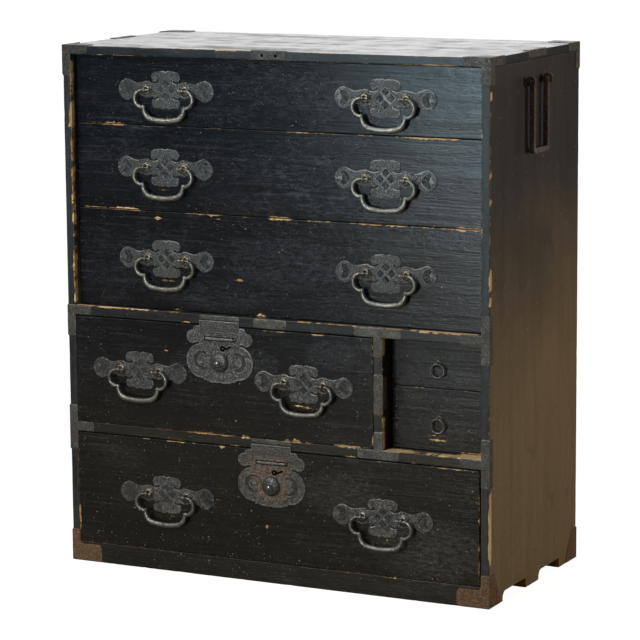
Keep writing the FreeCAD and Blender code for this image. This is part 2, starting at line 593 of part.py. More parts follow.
for name, x0, x1, face, z0, z1, bz0, bz1, pull, xs, lock_x in DRAWERS:
    studs = [("%s + %d * stud_x" % (x, s), pull, "stud_r + 0.05") for x in xs for s in (-1, 1)]
    drawer_front(name + "_front", x0, x1, face, z0, z1, "front_t", studs, lock_x)
    drawer_box(name + "_box", x0 + " + 1", x1 + " - 1", face + " + front_t", "box_end", bz0, bz1)
    sets = []
    for k, x in enumerate(xs):
        g = group(name + "_set", pull_fittings(name[7:10] + str(k), "front_t"))
        place(g, x, face, pull)
        sets.append(g)
        bail(name + ("_bail_left" if k == 0 else "_bail_right"), x, face, pull)
    keep(name + "_fittings", group("fittings", sets))


# ---------------------------------------------------------------- locks

def lock(drawer, lock_x, rail_z):
    """A push-button lock: a scalloped plate with a dome and a keyhole, a tab that
    laps the rail, a round button in the dome and a flat bolt in the front board."""
    n = drawer + "_lock"
    # local frame: under the rail's lower edge, on the drawer's face
    solids = []
    for x, z, r in ((34.0, -65.5, 32.0), (14.0, -62.0, 40.5), (53.5, -20.0, 12.0), (44.0, -11.5, 9.3)):
        for s in (-1, 1):
            solids.append(cylinder(n, r, "plate_t", s * x, "0", z, RX, False))
    solids.append(box(n, "-48", "48", "-plate_t", "0", "-45", "-2.4", False))
    tools = [cylinder(n, "button_bore", "6", "0", "3", "-lock_drop", RX, False),
             cylinder(n, "2.3", "6", "6.5", "3", "-40.7", RX, False),
             box(n, "6.5", "22", "-3", "3", "-40.3", "-38.9", False)]
    for s in (-1, 1):
        ring = cylinder(n, "12.5", "6", s * 39.0, "3", "-66", RX, False)
        core = fuse(n + "_core", [cylinder(n, "8.6", "8", s * 39.0, "4", "-66", RX, False),
                                  box(n, *(("12", "33") if s > 0 else ("-33", "-12")), "-4", "4", "-80", "-52", False)])
        tools.append(cut(n + "_scroll", ring, core))
    plate = cut(n + "_plate", fuse(n + "_solid", solids), fuse(n + "_tools", tools))
    tab = box(n, "-band_w", "band_w", "-plate_t - 1.4", "-plate_t", "-13", "7.8", False)
    bar = box(n, "-28.5", "28.5", "-plate_t - 2.4", "-plate_t", "-27.6", "-20", False)
    cap = fresh("Part::Sphere", n + "_cap")
    r, rise = size("dome_r"), size("dome_rise")
    ball = (r * r + rise * rise) / (2 * rise)
    cap.Radius = ball
    cap.Angle1 = math.degrees(math.asin((ball - rise) / ball))
    place(cap, "0", "-plate_t + %r" % (ball - rise), "-lock_drop", RX, False)
    dome = cut(n + "_dome", cap, cylinder(n, "button_bore", "30", "0", "5", "-lock_drop", RX, False))
    g = group(n + "_group", [plate, tab, bar, dome])
    place(g, lock_x, FLUSH_FACE, rail_z)
    keep(drawer + "_lock_plate", g)
    # button: a round bar with a domed tip; it stands 'button_proud' out of the dome
    shaft = cylinder(n, "button_r", "plate_t + dome_rise + button_proud - button_r + 12", "0", "12", "0", RX, False)
    tip = sphere(n, "button_r", "0", "-(plate_t + dome_rise + button_proud - button_r)", "0", False)
    b = fuse(n + "_btn", [shaft, tip])
    place(b, lock_x, FLUSH_FACE, "%s - lock_drop" % rail_z)
    keep(drawer + "_lock_button", b)
    keep(drawer + "_lock_bolt", box(n, "%s - bolt_w / 2" % lock_x, "%s + bolt_w / 2" % lock_x,
                                    FLUSH_FACE + " + 13", FLUSH_FACE + " + 13 + bolt_t",
                                    "%s - front_gap * 2 - 0.5 - bolt_len" % rail_z, "%s - front_gap * 2 - 0.5" % rail_z))


lock("drawer_middle", "lock_a_x", "upper_rail_z")
lock("drawer_bottom", "lock_b_x", "lower_rail_z")

# ---------------------------------------------------------------- two small drawers

for name, z0, z1, bz0, bz1, ring_z in (
    ("small_drawer_upper", "split_small + front_gap", "upper_rail_z - 1.4", "split_small + thin_shelf / 2 + 0.8", "upper_rail_z - 5", "ring_z_a"),
    ("small_drawer_lower", RAIL_B + " + 0.8", "split_small - front_gap", RAIL_B + " + 0.8", "split_small - 8", "ring_z_b"),
):
    x0, x1 = "post_x + post_w + 2.4", IN_R + " - 1.5"
    drawer_front(name + "_front", x0, x1, SMALL_FACE, z0, z1, "small_front_t", [("ring_x", ring_z, "1.85")])
    drawer_box(name + "_box", x0 + " + 0.8", x1 + " - 0.8", SMALL_FACE + " + small_front_t", "box_end", bz0, bz1, "8")
    shank = cylinder(name, "1.8", "ring_off + small_front_t", "0", "small_front_t", "0", RX, False)
    eye = cylinder(name, "4.0", "3.2", "-1.6", "-ring_off", "0", RY, False)
    clinch = box(name, "-6", "6", "small_front_t", "small_front_t + 1.4", "-1.5", "1.5", False)
    hole = cylinder(name, "ring_wire + 0.6", "6", "-3", "-ring_off", "0", RY, False)
    stud = cut(name + "_stud", fuse(name + "_studs", [shank, eye, clinch]), hole)
    place(stud, "ring_x", SMALL_FACE, ring_z)
    keep(name + "_stud", stud)
    t = fresh("Part::Torus", name)
    t.setExpression("Radius1", bound("ring_r * 1 mm"))
    t.setExpression("Radius2", bound("ring_wire * 1 mm"))
    place(t, "ring_x", SMALL_FACE + " - ring_off", "%s - ring_r" % ring_z, RX)
    keep(name + "_ring", t)

# ---------------------------------------------------------------- checks and files

if doc.getObject("Probe"):
    doc.removeObject("Probe")
doc.recompute()
bad = [o.Name for o in doc.Objects if "Invalid" in o.State or "Error" in o.State]
if bad:
    raise RuntimeError("objects that failed: %s" % bad)
low = [1e9] * 3
high = [-1e9] * 3
for label, obj in parts.items():
    shape = obj.Shape
    if obj.Label != label or shape.isNull() or not shape.isValid() or not shape.Solids:
        raise RuntimeError("%s is not a valid solid" % label)
    for solid in shape.Solids:
        if not solid.isClosed() or solid.Volume <= 0:
            raise RuntimeError("%s has an open solid" % label)
    bb = shape.BoundBox
    low = [min(a, b) for a, b in zip(low, (bb.XMin, bb.YMin, bb.ZMin))]
    high = [max(a, b) for a, b in zip(high, (bb.XMax, bb.YMax, bb.ZMax))]
if len(parts) > 60:
    raise RuntimeError("too many sub-parts")

os.makedirs("parts", exist_ok=True)
for label, obj in parts.items():
    obj.Shape.exportStep("parts/%s.step" % label)
print(len(parts), "sub-parts; box", [round(v, 2) for v in low], [round(v, 2) for v in high])
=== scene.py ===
import bpy
import math
import numpy as np
from mathutils import Matrix, Vector


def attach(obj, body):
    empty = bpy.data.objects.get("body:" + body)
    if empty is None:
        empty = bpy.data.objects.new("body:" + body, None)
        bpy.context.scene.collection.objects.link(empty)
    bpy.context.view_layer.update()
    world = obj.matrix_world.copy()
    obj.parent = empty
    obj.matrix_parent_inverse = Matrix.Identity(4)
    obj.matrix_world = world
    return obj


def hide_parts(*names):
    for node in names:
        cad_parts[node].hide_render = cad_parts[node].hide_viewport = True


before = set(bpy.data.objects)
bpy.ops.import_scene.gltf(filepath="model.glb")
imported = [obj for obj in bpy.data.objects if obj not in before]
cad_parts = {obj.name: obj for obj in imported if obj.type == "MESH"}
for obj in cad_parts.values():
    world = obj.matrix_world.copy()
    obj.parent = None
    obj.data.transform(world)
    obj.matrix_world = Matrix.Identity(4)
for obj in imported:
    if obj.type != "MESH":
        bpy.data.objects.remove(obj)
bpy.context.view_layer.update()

SHIFT = 6.65            # the row frame's y is the wooden case's y plus this, in mm
rng = np.random.default_rng(11)


def world_m(p):
    """Case millimetres to row-frame metres."""
    p = np.asarray(p, float)
    return (p + np.array([0.0, SHIFT, 0.0])) / 1000.0


# ------------------------------------------------------------------ noise in code

def _hash(i, j, k, seed):
    h = (i.astype(np.int64) * 374761393 + j.astype(np.int64) * 668265263 + k.astype(np.int64) * 2147483647 + seed * 1274126177) & 0xFFFFFFFF
    h = (h ^ (h >> 13)) * 1274126177 & 0xFFFFFFFF
    h = (h ^ (h >> 16)) & 0xFFFFFFFF
    return h / 4294967295.0


def vnoise(p, scale, seed=0):
    """Smooth value noise from 0 to 1. p is (n, 3), scale the cell size in the same unit, one number or three."""
    q = np.asarray(p, float) / np.asarray(scale, float)
    f = np.floor(q)
    t = q - f
    t = t * t * (3 - 2 * t)
    i, j, k = (f[:, a].astype(np.int64) for a in range(3))
    out = 0.0
    for a in (0, 1):
        wa = t[:, 0] if a else 1 - t[:, 0]
        for b in (0, 1):
            wb = t[:, 1] if b else 1 - t[:, 1]
            for c in (0, 1):
                wc = t[:, 2] if c else 1 - t[:, 2]
                out = out + wa * wb * wc * _hash(i + a, j + b, k + c, seed)
    return out


def fnoise(p, scale, seed=0, octaves=3):
    total, amp, norm = 0.0, 1.0, 0.0
    scale = np.asarray(scale, float)
    for o in range(octaves):
        total = total + amp * vnoise(p, scale / 2 ** o, seed + 17 * o)
        norm += amp
        amp *= 0.5
    return total / norm


def smooth(x, a, b):
    t = np.clip((np.asarray(x, float) - a) / (b - a), 0, 1)
    return t * t * (3 - 2 * t)


# ------------------------------------------------------------------ meshes

def make(name, verts, faces, material, body, replaces=(), slot=None, attrs=None, flat=False, sharp=None):
    """A mesh piece from case-millimetre vertices that rides on a CAD body."""
    me = bpy.data.meshes.new(name)
    me.from_pydata([tuple(v) for v in world_m(verts)], [], [tuple(int(i) for i in f) for f in faces])
    me.validate(clean_customdata=False)
    me.update()
    for key, values in (attrs or {}).items():
        a = me.attributes.new(key, "FLOAT", "POINT")
        a.data.foreach_set("value", np.asarray(values, np.float32))
    if not flat:
        me.polygons.foreach_set("use_smooth", [True] * len(me.polygons))
        if sharp:
            me.set_sharp_from_angle(angle=math.radians(sharp))
    for m in (material if isinstance(material, (list, tuple)) else [material]):
        me.materials.append(m)
    ob = bpy.data.objects.new(name, me)
    bpy.context.scene.collection.objects.link(ob)
    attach(ob, body)
    if replaces:
        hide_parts(*replaces)
    return ob


class Soup:
    """Collects several shells into one piece."""

    def __init__(self):
        self.v, self.f, self.a, self.n = [], [], {}, 0

    def add(self, verts, faces, **attrs):
        verts = np.asarray(verts, float).reshape(-1, 3)
        self.f += [tuple(int(i) + self.n for i in f) for f in faces]
        for k in set(self.a) | set(attrs):
            have = self.a.setdefault(k, [np.zeros(self.n)])
            value = attrs.get(k, 0.0)
            have.append(np.broadcast_to(np.asarray(value, float), (len(verts),)).copy())
        self.v.append(verts)
        self.n += len(verts)
        return self

    def make(self, name, material, body, **kw):
        attrs = {k: np.concatenate(v) for k, v in self.a.items()}
        return make(name, np.concatenate(self.v), self.f, material, body, attrs=attrs, **kw)


def lines(lo, hi, step, edge=(0.0, 0.35, 0.8, 1.5, 2.6, 4.4, 7.0), extra=()):
    """Grid lines from lo to hi: close together at both ends and step apart between."""
    w = hi - lo
    near = [e for e in edge if e < w * 0.45]
    a, b = lo + near[-1], hi - near[-1]
    n = max(1, int(round((b - a) / step)))
    out = [lo + e for e in near] + list(a + (b - a) * np.arange(1, n) / n) + [hi - e for e in reversed(near)]
    out += [e for e in extra if lo < e < hi]
    return np.array(sorted(set(round(float(x), 4) for x in out)))


def slab(lo, hi, gx, gy, gz, radius=0.8, wear=None, seed=1, keep_flat=(), jag=1.0):
    """A board: a box whose edges and corners are rounded by a radius that wanders, with the chips that wear(p, d) asks for.
    Returns vertices, faces and the distance of each vertex to the nearest edge."""
    lo, hi = np.asarray(lo, float), np.asarray(hi, float)
    g = (gx, gy, gz)
    n = [len(a) for a in g]
    index = {}
    pts = []
    faces = []

    def vid(i, j, k):
        key = (i, j, k)
        if key not in index:
            index[key] = len(pts)
            pts.append((g[0][i], g[1][j], g[2][k]))
        return index[key]

    def side(axis, end):
        a, b = [x for x in range(3) if x != axis]
        fixed = 0 if end == 0 else n[axis] - 1
        flip = (end == 1) == (axis != 1)
        for i in range(n[a] - 1):
            for j in range(n[b] - 1):
                quad = []
                for di, dj in ((0, 0), (1, 0), (1, 1), (0, 1)):
                    key = [0, 0, 0]
                    key[axis], key[a], key[b] = fixed, i + di, j + dj
                    quad.append(vid(*key))
                faces.append(quad if flip else quad[::-1])

    for axis in range(3):
        for end in (0, 1):
            side(axis, end)
    p = np.array(pts)
    # distance to the box's edges: the second smallest of the distances to its planes
    d = np.sort(np.minimum(p - lo, hi - p), axis=1)[:, 1]
    r = radius * (0.6 + 0.9 * fnoise(p, 24.0, seed, 3))
    if jag:
        r = r + jag * 2.2 * np.clip(fnoise(p, 9.0, seed + 5, 3) - 0.62, 0, 1) * 4
    if wear is not None:
        r = r + wear(p)
    r = np.minimum(r, (hi - lo).min() * 0.45)
    r3 = r[:, None]
    inner = np.clip(p, lo + r3, hi - r3)
    away = p - inner
    length = np.linalg.norm(away, axis=1)
    many = (np.abs(away) > 1e-9).sum(1) > 1
    out = p.copy()
    fix = many & (length > 1e-9)
    out[fix] = inner[fix] + away[fix] / length[fix][:, None] * r[fix][:, None]
    return out, faces, d


def relief(outline, height, xs, zs, base=0.0, back=True):
    """A sheet with a shaped outline and a modelled face. outline(x, z) is negative inside; height(x, z, d) is the face's
    height over the base at a depth d inside the outline. Returns local (x, z, h) vertices and faces, closed at the back."""
    X, Z = np.meshgrid(xs, zs, indexing="ij")
    D = outline(X.ravel(), Z.ravel()).reshape(X.shape)
    D = np.where(np.abs(D) < 1e-6, -1e-6, D)
    inside = D < 0
    nx, nz = D.shape
    pts, node, edge = [], {}, {}

    def at(i, j):
        if (i, j) not in node:
            node[(i, j)] = len(pts)
            pts.append((X[i, j], Z[i, j], 0))
        return node[(i, j)]

    def crossing(i, j, k, m):
        key = (i, j, k, m) if (i, j) < (k, m) else (k, m, i, j)
        if key not in edge:
            t = D[i, j] / (D[i, j] - D[k, m])
            t = min(max(t, 0.08), 0.92)
            edge[key] = len(pts)
            pts.append((X[i, j] + t * (X[k, m] - X[i, j]), Z[i, j] + t * (Z[k, m] - Z[i, j]), 1))
        return edge[key]

    faces = []
    whole = inside[:-1, :-1] & inside[1:, :-1] & inside[1:, 1:] & inside[:-1, 1:]
    some = (inside[:-1, :-1] | inside[1:, :-1] | inside[1:, 1:] | inside[:-1, 1:])
    rim = []
    for i, j in np.argwhere(some):
        i, j = int(i), int(j)
        if whole[i, j]:
            faces.append([at(i, j), at(i + 1, j), at(i + 1, j + 1), at(i, j + 1)])
            continue
        corners = [(i, j), (i + 1, j), (i + 1, j + 1), (i, j + 1)]
        poly = []
        for c in range(4):
            a, b = corners[c], corners[(c + 1) % 4]
            if inside[a]:
                poly.append((at(*a), 0))
            if inside[a] != inside[b]:
                poly.append((crossing(*a, *b), 1))
        ids = [q for q, _ in poly]
        marks = [q for _, q in poly]
        ins = [inside[c] for c in corners]
        if sum(ins) == 2 and ins[0] == ins[2]:
            # two opposite corners: split into two triangles
            k = len(ids)
            start = [m for m in range(k) if marks[m] == 0]
            for m in start:
                tri = [ids[(m - 1) % k], ids[m], ids[(m + 1) % k]]
                faces.append(tri)
                rim.append((tri[2], tri[0]))
            continue
        faces.append(ids)
        k = len(ids)
        for m in range(k):
            if marks[m] and marks[(m + 1) % k]:
                rim.append((ids[m], ids[(m + 1) % k]))
    P = np.array(pts, float)
    if not len(P):
        return np.zeros((0, 3)), []
    depth = np.where(P[:, 2] > 0.5, 0.0, -outline(P[:, 0], P[:, 1]))
    depth = np.maximum(depth, 0)
    H = height(P[:, 0], P[:, 1], depth)
    top = np.column_stack([P[:, 0], P[:, 1], H])
    n = len(top)
    ringed = sorted(set(a for e in rim for a in e))
    low = {a: n + q for q, a in enumerate(ringed)}
    foot = np.array([[P[a, 0], P[a, 1], base] for a in ringed]).reshape(-1, 3)
    faces = list(faces)
    for a, b in rim:
        faces.append([b, a, low[a], low[b]])
    verts = np.concatenate([top, foot]) if len(foot) else top
    if back:
        import bmesh
        bm = bmesh.new()
        bv = {a: bm.verts.new((P[a, 0], P[a, 1], 0)) for a in ringed}
        for a, b in rim:
            if bv[a] is not bv[b]:
                try:
                    bm.edges.new((bv[a], bv[b]))
                except ValueError:
                    pass
        names = {v: a for a, v in bv.items()}
        got = bmesh.ops.triangle_fill(bm, edges=bm.edges[:], use_beauty=False, use_dissolve=False)
        for f in bm.faces:
            tri = [low[names[v]] for v in f.verts]
            a, b, c = (verts[q] for q in tri)
            area = (b[0] - a[0]) * (c[1] - a[1]) - (b[1] - a[1]) * (c[0] - a[0])
            faces.append(tri[::-1] if area > 0 else tri)
        bm.free()
    return verts, faces


def onto(verts, origin, u, v, n):
    """Local (a, b, height) to case millimetres."""
    o, u, v, n = (np.asarray(q, float) for q in (origin, u, v, n))
    return o + verts[:, :1] * u + verts[:, 1:2] * v + verts[:, 2:3] * n


FRONT_AXES = ((1, 0, 0), (0, 0, 1), (0, -1, 0))
RIGHT_AXES = ((0, 1, 0), (0, 0, 1), (1, 0, 0))
LEFT_AXES = ((0, -1, 0), (0, 0, 1), (-1, 0, 0))
BACK_AXES = ((-1, 0, 0), (0, 0, 1), (0, 1, 0))
TOP_AXES = ((1, 0, 0), (0, 1, 0), (0, 0, 1))


def tube(points, radii, sides=14, up=(0, 1, 0), squash=1.0, caps=True, square=0.0, twist=0.0):
    """A bar swept along points; radii varies along it. square above 0 makes its section boxy."""
    P = np.asarray(points, float)
    R = np.broadcast_to(np.asarray(radii, float), (len(P),))
    T = np.gradient(P, axis=0)
    T /= np.linalg.norm(T, axis=1)[:, None]
    up = np.asarray(up, float)
    verts = []
    a = np.arange(sides) / sides * 2 * math.pi + twist
    c, s = np.cos(a), np.sin(a)
    if square:
        m = 1.0 / np.maximum(np.abs(c), np.abs(s))
        c, s = c * (1 + (m - 1) * square), s * (1 + (m - 1) * square)
    for p, r, t in zip(P, R, T):
        side = np.cross(t, up)
        side /= max(np.linalg.norm(side), 1e-9)
        top = np.cross(side, t)
        verts.append(p + r * (c[:, None] * side + squash * s[:, None] * top))
    verts = np.concatenate(verts)
    faces = []
    for i in range(len(P) - 1):
        for j in range(sides):
            k = (j + 1) % sides
            faces.append([i * sides + j, i * sides + k, (i + 1) * sides + k, (i + 1) * sides + j])
    if caps:
        for end, t in ((0, -T[0]), (len(P) - 1, T[-1])):
            ring = [end * sides + j for j in range(sides)]
            tip = len(verts)
            verts = np.vstack([verts, P[end] + t * R[end] * 0.35])
            for j in range(sides):
                k = (j + 1) % sides
                tri = [ring[j], ring[k], tip]
                faces.append(tri[::-1] if end == 0 else tri)
    # outward winding
    i = 0
    v = verts
    f = faces[0]
    nrm = np.cross(v[f[1]] - v[f[0]], v[f[2]] - v[f[0]])
    if np.dot(nrm, v[f[0]] - P[0]) < 0:
        faces = [q[::-1] for q in faces]
    return verts, faces


def lathe(profile, sides=28, petals=None, phase=0.0, seed=0, wobble=0.0):
    """A turned or beaten boss: profile is (radius, height) from rim to centre. Local (a, b, height)."""
    a = np.arange(sides) / sides * 2 * math.pi + phase
    verts, faces = [], []
    prof = [q for q in profile if q[0] > 1e-6]
    tip = [q for q in profile if q[0] <= 1e-6]
    for r, h in prof:
        rr = r * (1 + wobble * np.sin(3 * a + seed) + 0.6 * wobble * np.sin(5 * a + 2 * seed))
        hh = np.full(sides, float(h))
        if petals:
            n, depth, r0, r1 = petals
            w = smooth(r, r0, (r0 + r1) / 2) * (1 - smooth(r, (r0 + r1) / 2, r1) * 0.3)
            hh = hh - depth * w * (0.5 + 0.5 * np.cos(n * a)) ** 3
        verts.append(np.column_stack([rr * np.cos(a), rr * np.sin(a), hh]))
    verts = np.concatenate(verts)
    m = len(prof)
    for i in range(m - 1):
        for j in range(sides):
            k = (j + 1) % sides
            faces.append([i * sides + j, i * sides + k, (i + 1) * sides + k, (i + 1) * sides + j])
    if tip:
        c = len(verts)
        verts = np.vstack([verts, [0, 0, tip[0][1]]])
        for j in range(sides):
            k = (j + 1) % sides
            faces.append([(m - 1) * sides + j, (m - 1) * sides + k, c])
    faces.append([j for j in range(sides)][::-1])
    return verts, faces


def nail(soup, at, axes, r=2.2, h=0.9, seed=0, bright=0.8):
    """A hand-made nail head, a low faceted dome."""
    prof = [(r, 0.0), (r * 0.98, h * 0.35), (r * 0.8, h * 0.72), (r * 0.5, h * 0.93), (r * 0.2, h), (0, h)]
    v, f = lathe(prof, 10, phase=seed * 0.7, seed=seed, wobble=0.05)
    u, w, n = axes
    soup.add(onto(v, at, u, w, n), f, wear=bright)


# ------------------------------------------------------------------ materials in nodes

class Value:
    """A socket that sums, products and steps can be made from."""

    def __init__(self, g, s):
        self.g, self.s = g, s

    def _op(self, op, *others, clamp=False):
        n = self.g.node("ShaderNodeMath", operation=op, use_clamp=clamp)
        for k, q in enumerate((self,) + others):
            self.g.put(n.inputs[k], q)
        return Value(self.g, n.outputs[0])

    def __add__(self, o): return self._op("ADD", o)
    __radd__ = __add__
    def __mul__(self, o): return self._op("MULTIPLY", o)
    __rmul__ = __mul__
    def __sub__(self, o): return self._op("SUBTRACT", o)

    def __rsub__(self, o):
        n = self.g.node("ShaderNodeMath", operation="SUBTRACT")
        self.g.put(n.inputs[0], o)
        self.g.put(n.inputs[1], self)
        return Value(self.g, n.outputs[0])

    def __truediv__(self, o): return self._op("DIVIDE", o)
    def pow(self, o): return self._op("POWER", o)
    def min(self, o): return self._op("MINIMUM", o)
    def max(self, o): return self._op("MAXIMUM", o)
    def abs(self): return self._op("ABSOLUTE")
    def sin(self): return self._op("SINE")
    def clamp(self): return self._op("ADD", 0.0, clamp=True)

    def step(self, a, b):
        """0 below a, 1 above b, smooth between; a may be over b."""
        n = self.g.node("ShaderNodeMapRange", interpolation_type="SMOOTHSTEP")
        self.g.put(n.inputs["Value"], self)
        if a < b:
            lo, hi, x, y = a, b, 0.0, 1.0
        else:
            lo, hi, x, y = b, a, 1.0, 0.0
        n.inputs["From Min"].default_value, n.inputs["From Max"].default_value = lo, hi
        n.inputs["To Min"].default_value, n.inputs["To Max"].default_value = x, y
        return Value(self.g, n.outputs["Result"])


class Graph:
    def __init__(self, name):
        self.m = bpy.data.materials.new(name)
        self.m.use_nodes = True
        self.t = self.m.node_tree
        self.t.nodes.clear()
        self.out = self.node("ShaderNodeOutputMaterial")
        self.b = self.node("ShaderNodeBsdfPrincipled")
        self.t.links.new(self.b.outputs[0], self.out.inputs[0])
        self.co = self.node("ShaderNodeTexCoord").outputs["Object"]
        self._xyz = None

    def node(self, kind, **props):
        n = self.t.nodes.new(kind)
        for k, v in props.items():
            setattr(n, k, v)
        return n

    def put(self, socket, q):
        if isinstance(q, Value):
            self.t.links.new(q.s, socket)
        elif isinstance(q, bpy.types.NodeSocket):
            self.t.links.new(q, socket)
        elif isinstance(q, (tuple, list)):
            socket.default_value = tuple(q) + ((1.0,) if len(q) == 3 and socket.type == "RGBA" else ())
        else:
            socket.default_value = q

    @property
    def xyz(self):
        if self._xyz is None:
            n = self.node("ShaderNodeSeparateXYZ")
            self.t.links.new(self.co, n.inputs[0])
            self._xyz = tuple(Value(self, o) for o in n.outputs)
        return self._xyz

    def scaled(self, sx, sy, sz, offset=(0, 0, 0), bend=None):
        n = self.node("ShaderNodeVectorMath", operation="MULTIPLY_ADD")
        self.t.links.new(self.co if bend is None else bend, n.inputs[0])
        n.inputs[1].default_value = (sx, sy, sz)
        n.inputs[2].default_value = offset
        return n.outputs[0]

    def noise(self, vec, scale=1.0, detail=3.0, rough=0.55, distortion=0.0):
        n = self.node("ShaderNodeTexNoise")
        n.noise_dimensions = "3D"
        self.t.links.new(vec, n.inputs["Vector"])
        n.inputs["Scale"].default_value = scale
        n.inputs["Detail"].default_value = detail
        n.inputs["Roughness"].default_value = rough
        n.inputs["Distortion"].default_value = distortion
        return Value(self, n.outputs[0])

    def cells(self, vec, scale=1.0, feature="F1", randomness=1.0):
        n = self.node("ShaderNodeTexVoronoi", feature=feature)
        self.t.links.new(vec, n.inputs["Vector"])
        n.inputs["Scale"].default_value = scale
        n.inputs["Randomness"].default_value = randomness
        return n

    def attr(self, name):
        n = self.node("ShaderNodeAttribute", attribute_name=name)
        return Value(self, n.outputs["Fac"])

    def mix(self, fac, a, b, blend="MIX"):
        n = self.node("ShaderNodeMix", data_type="RGBA", blend_type=blend)
        self.put(n.inputs[0], fac)
        self.put(n.inputs[6], a)
        self.put(n.inputs[7], b)
        return n.outputs[2]

    def bump(self, height, distance=0.001, strength=1.0, normal=None):
        n = self.node("ShaderNodeBump")
        n.inputs["Strength"].default_value = strength
        n.inputs["Distance"].default_value = distance
        self.put(n.inputs["Height"], height)
        if normal is not None:
            self.t.links.new(normal, n.inputs["Normal"])
        return n.outputs[0]

    def finish(self, colour, rough, normal=None, metal=None, spec=0.5):
        self.put(self.b.inputs["Base Color"], colour)
        self.put(self.b.inputs["Roughness"], rough)
        if normal is not None:
            self.t.links.new(normal, self.b.inputs["Normal"])
        if metal is not None:
            self.put(self.b.inputs["Metallic"], metal)
        self.b.inputs["Specular IOR Level"].default_value = spec
        return self.m


# ------------------------------------------------------------------ lacquer, wood and iron

GOLD = (0.85, 0.51, 0.195)


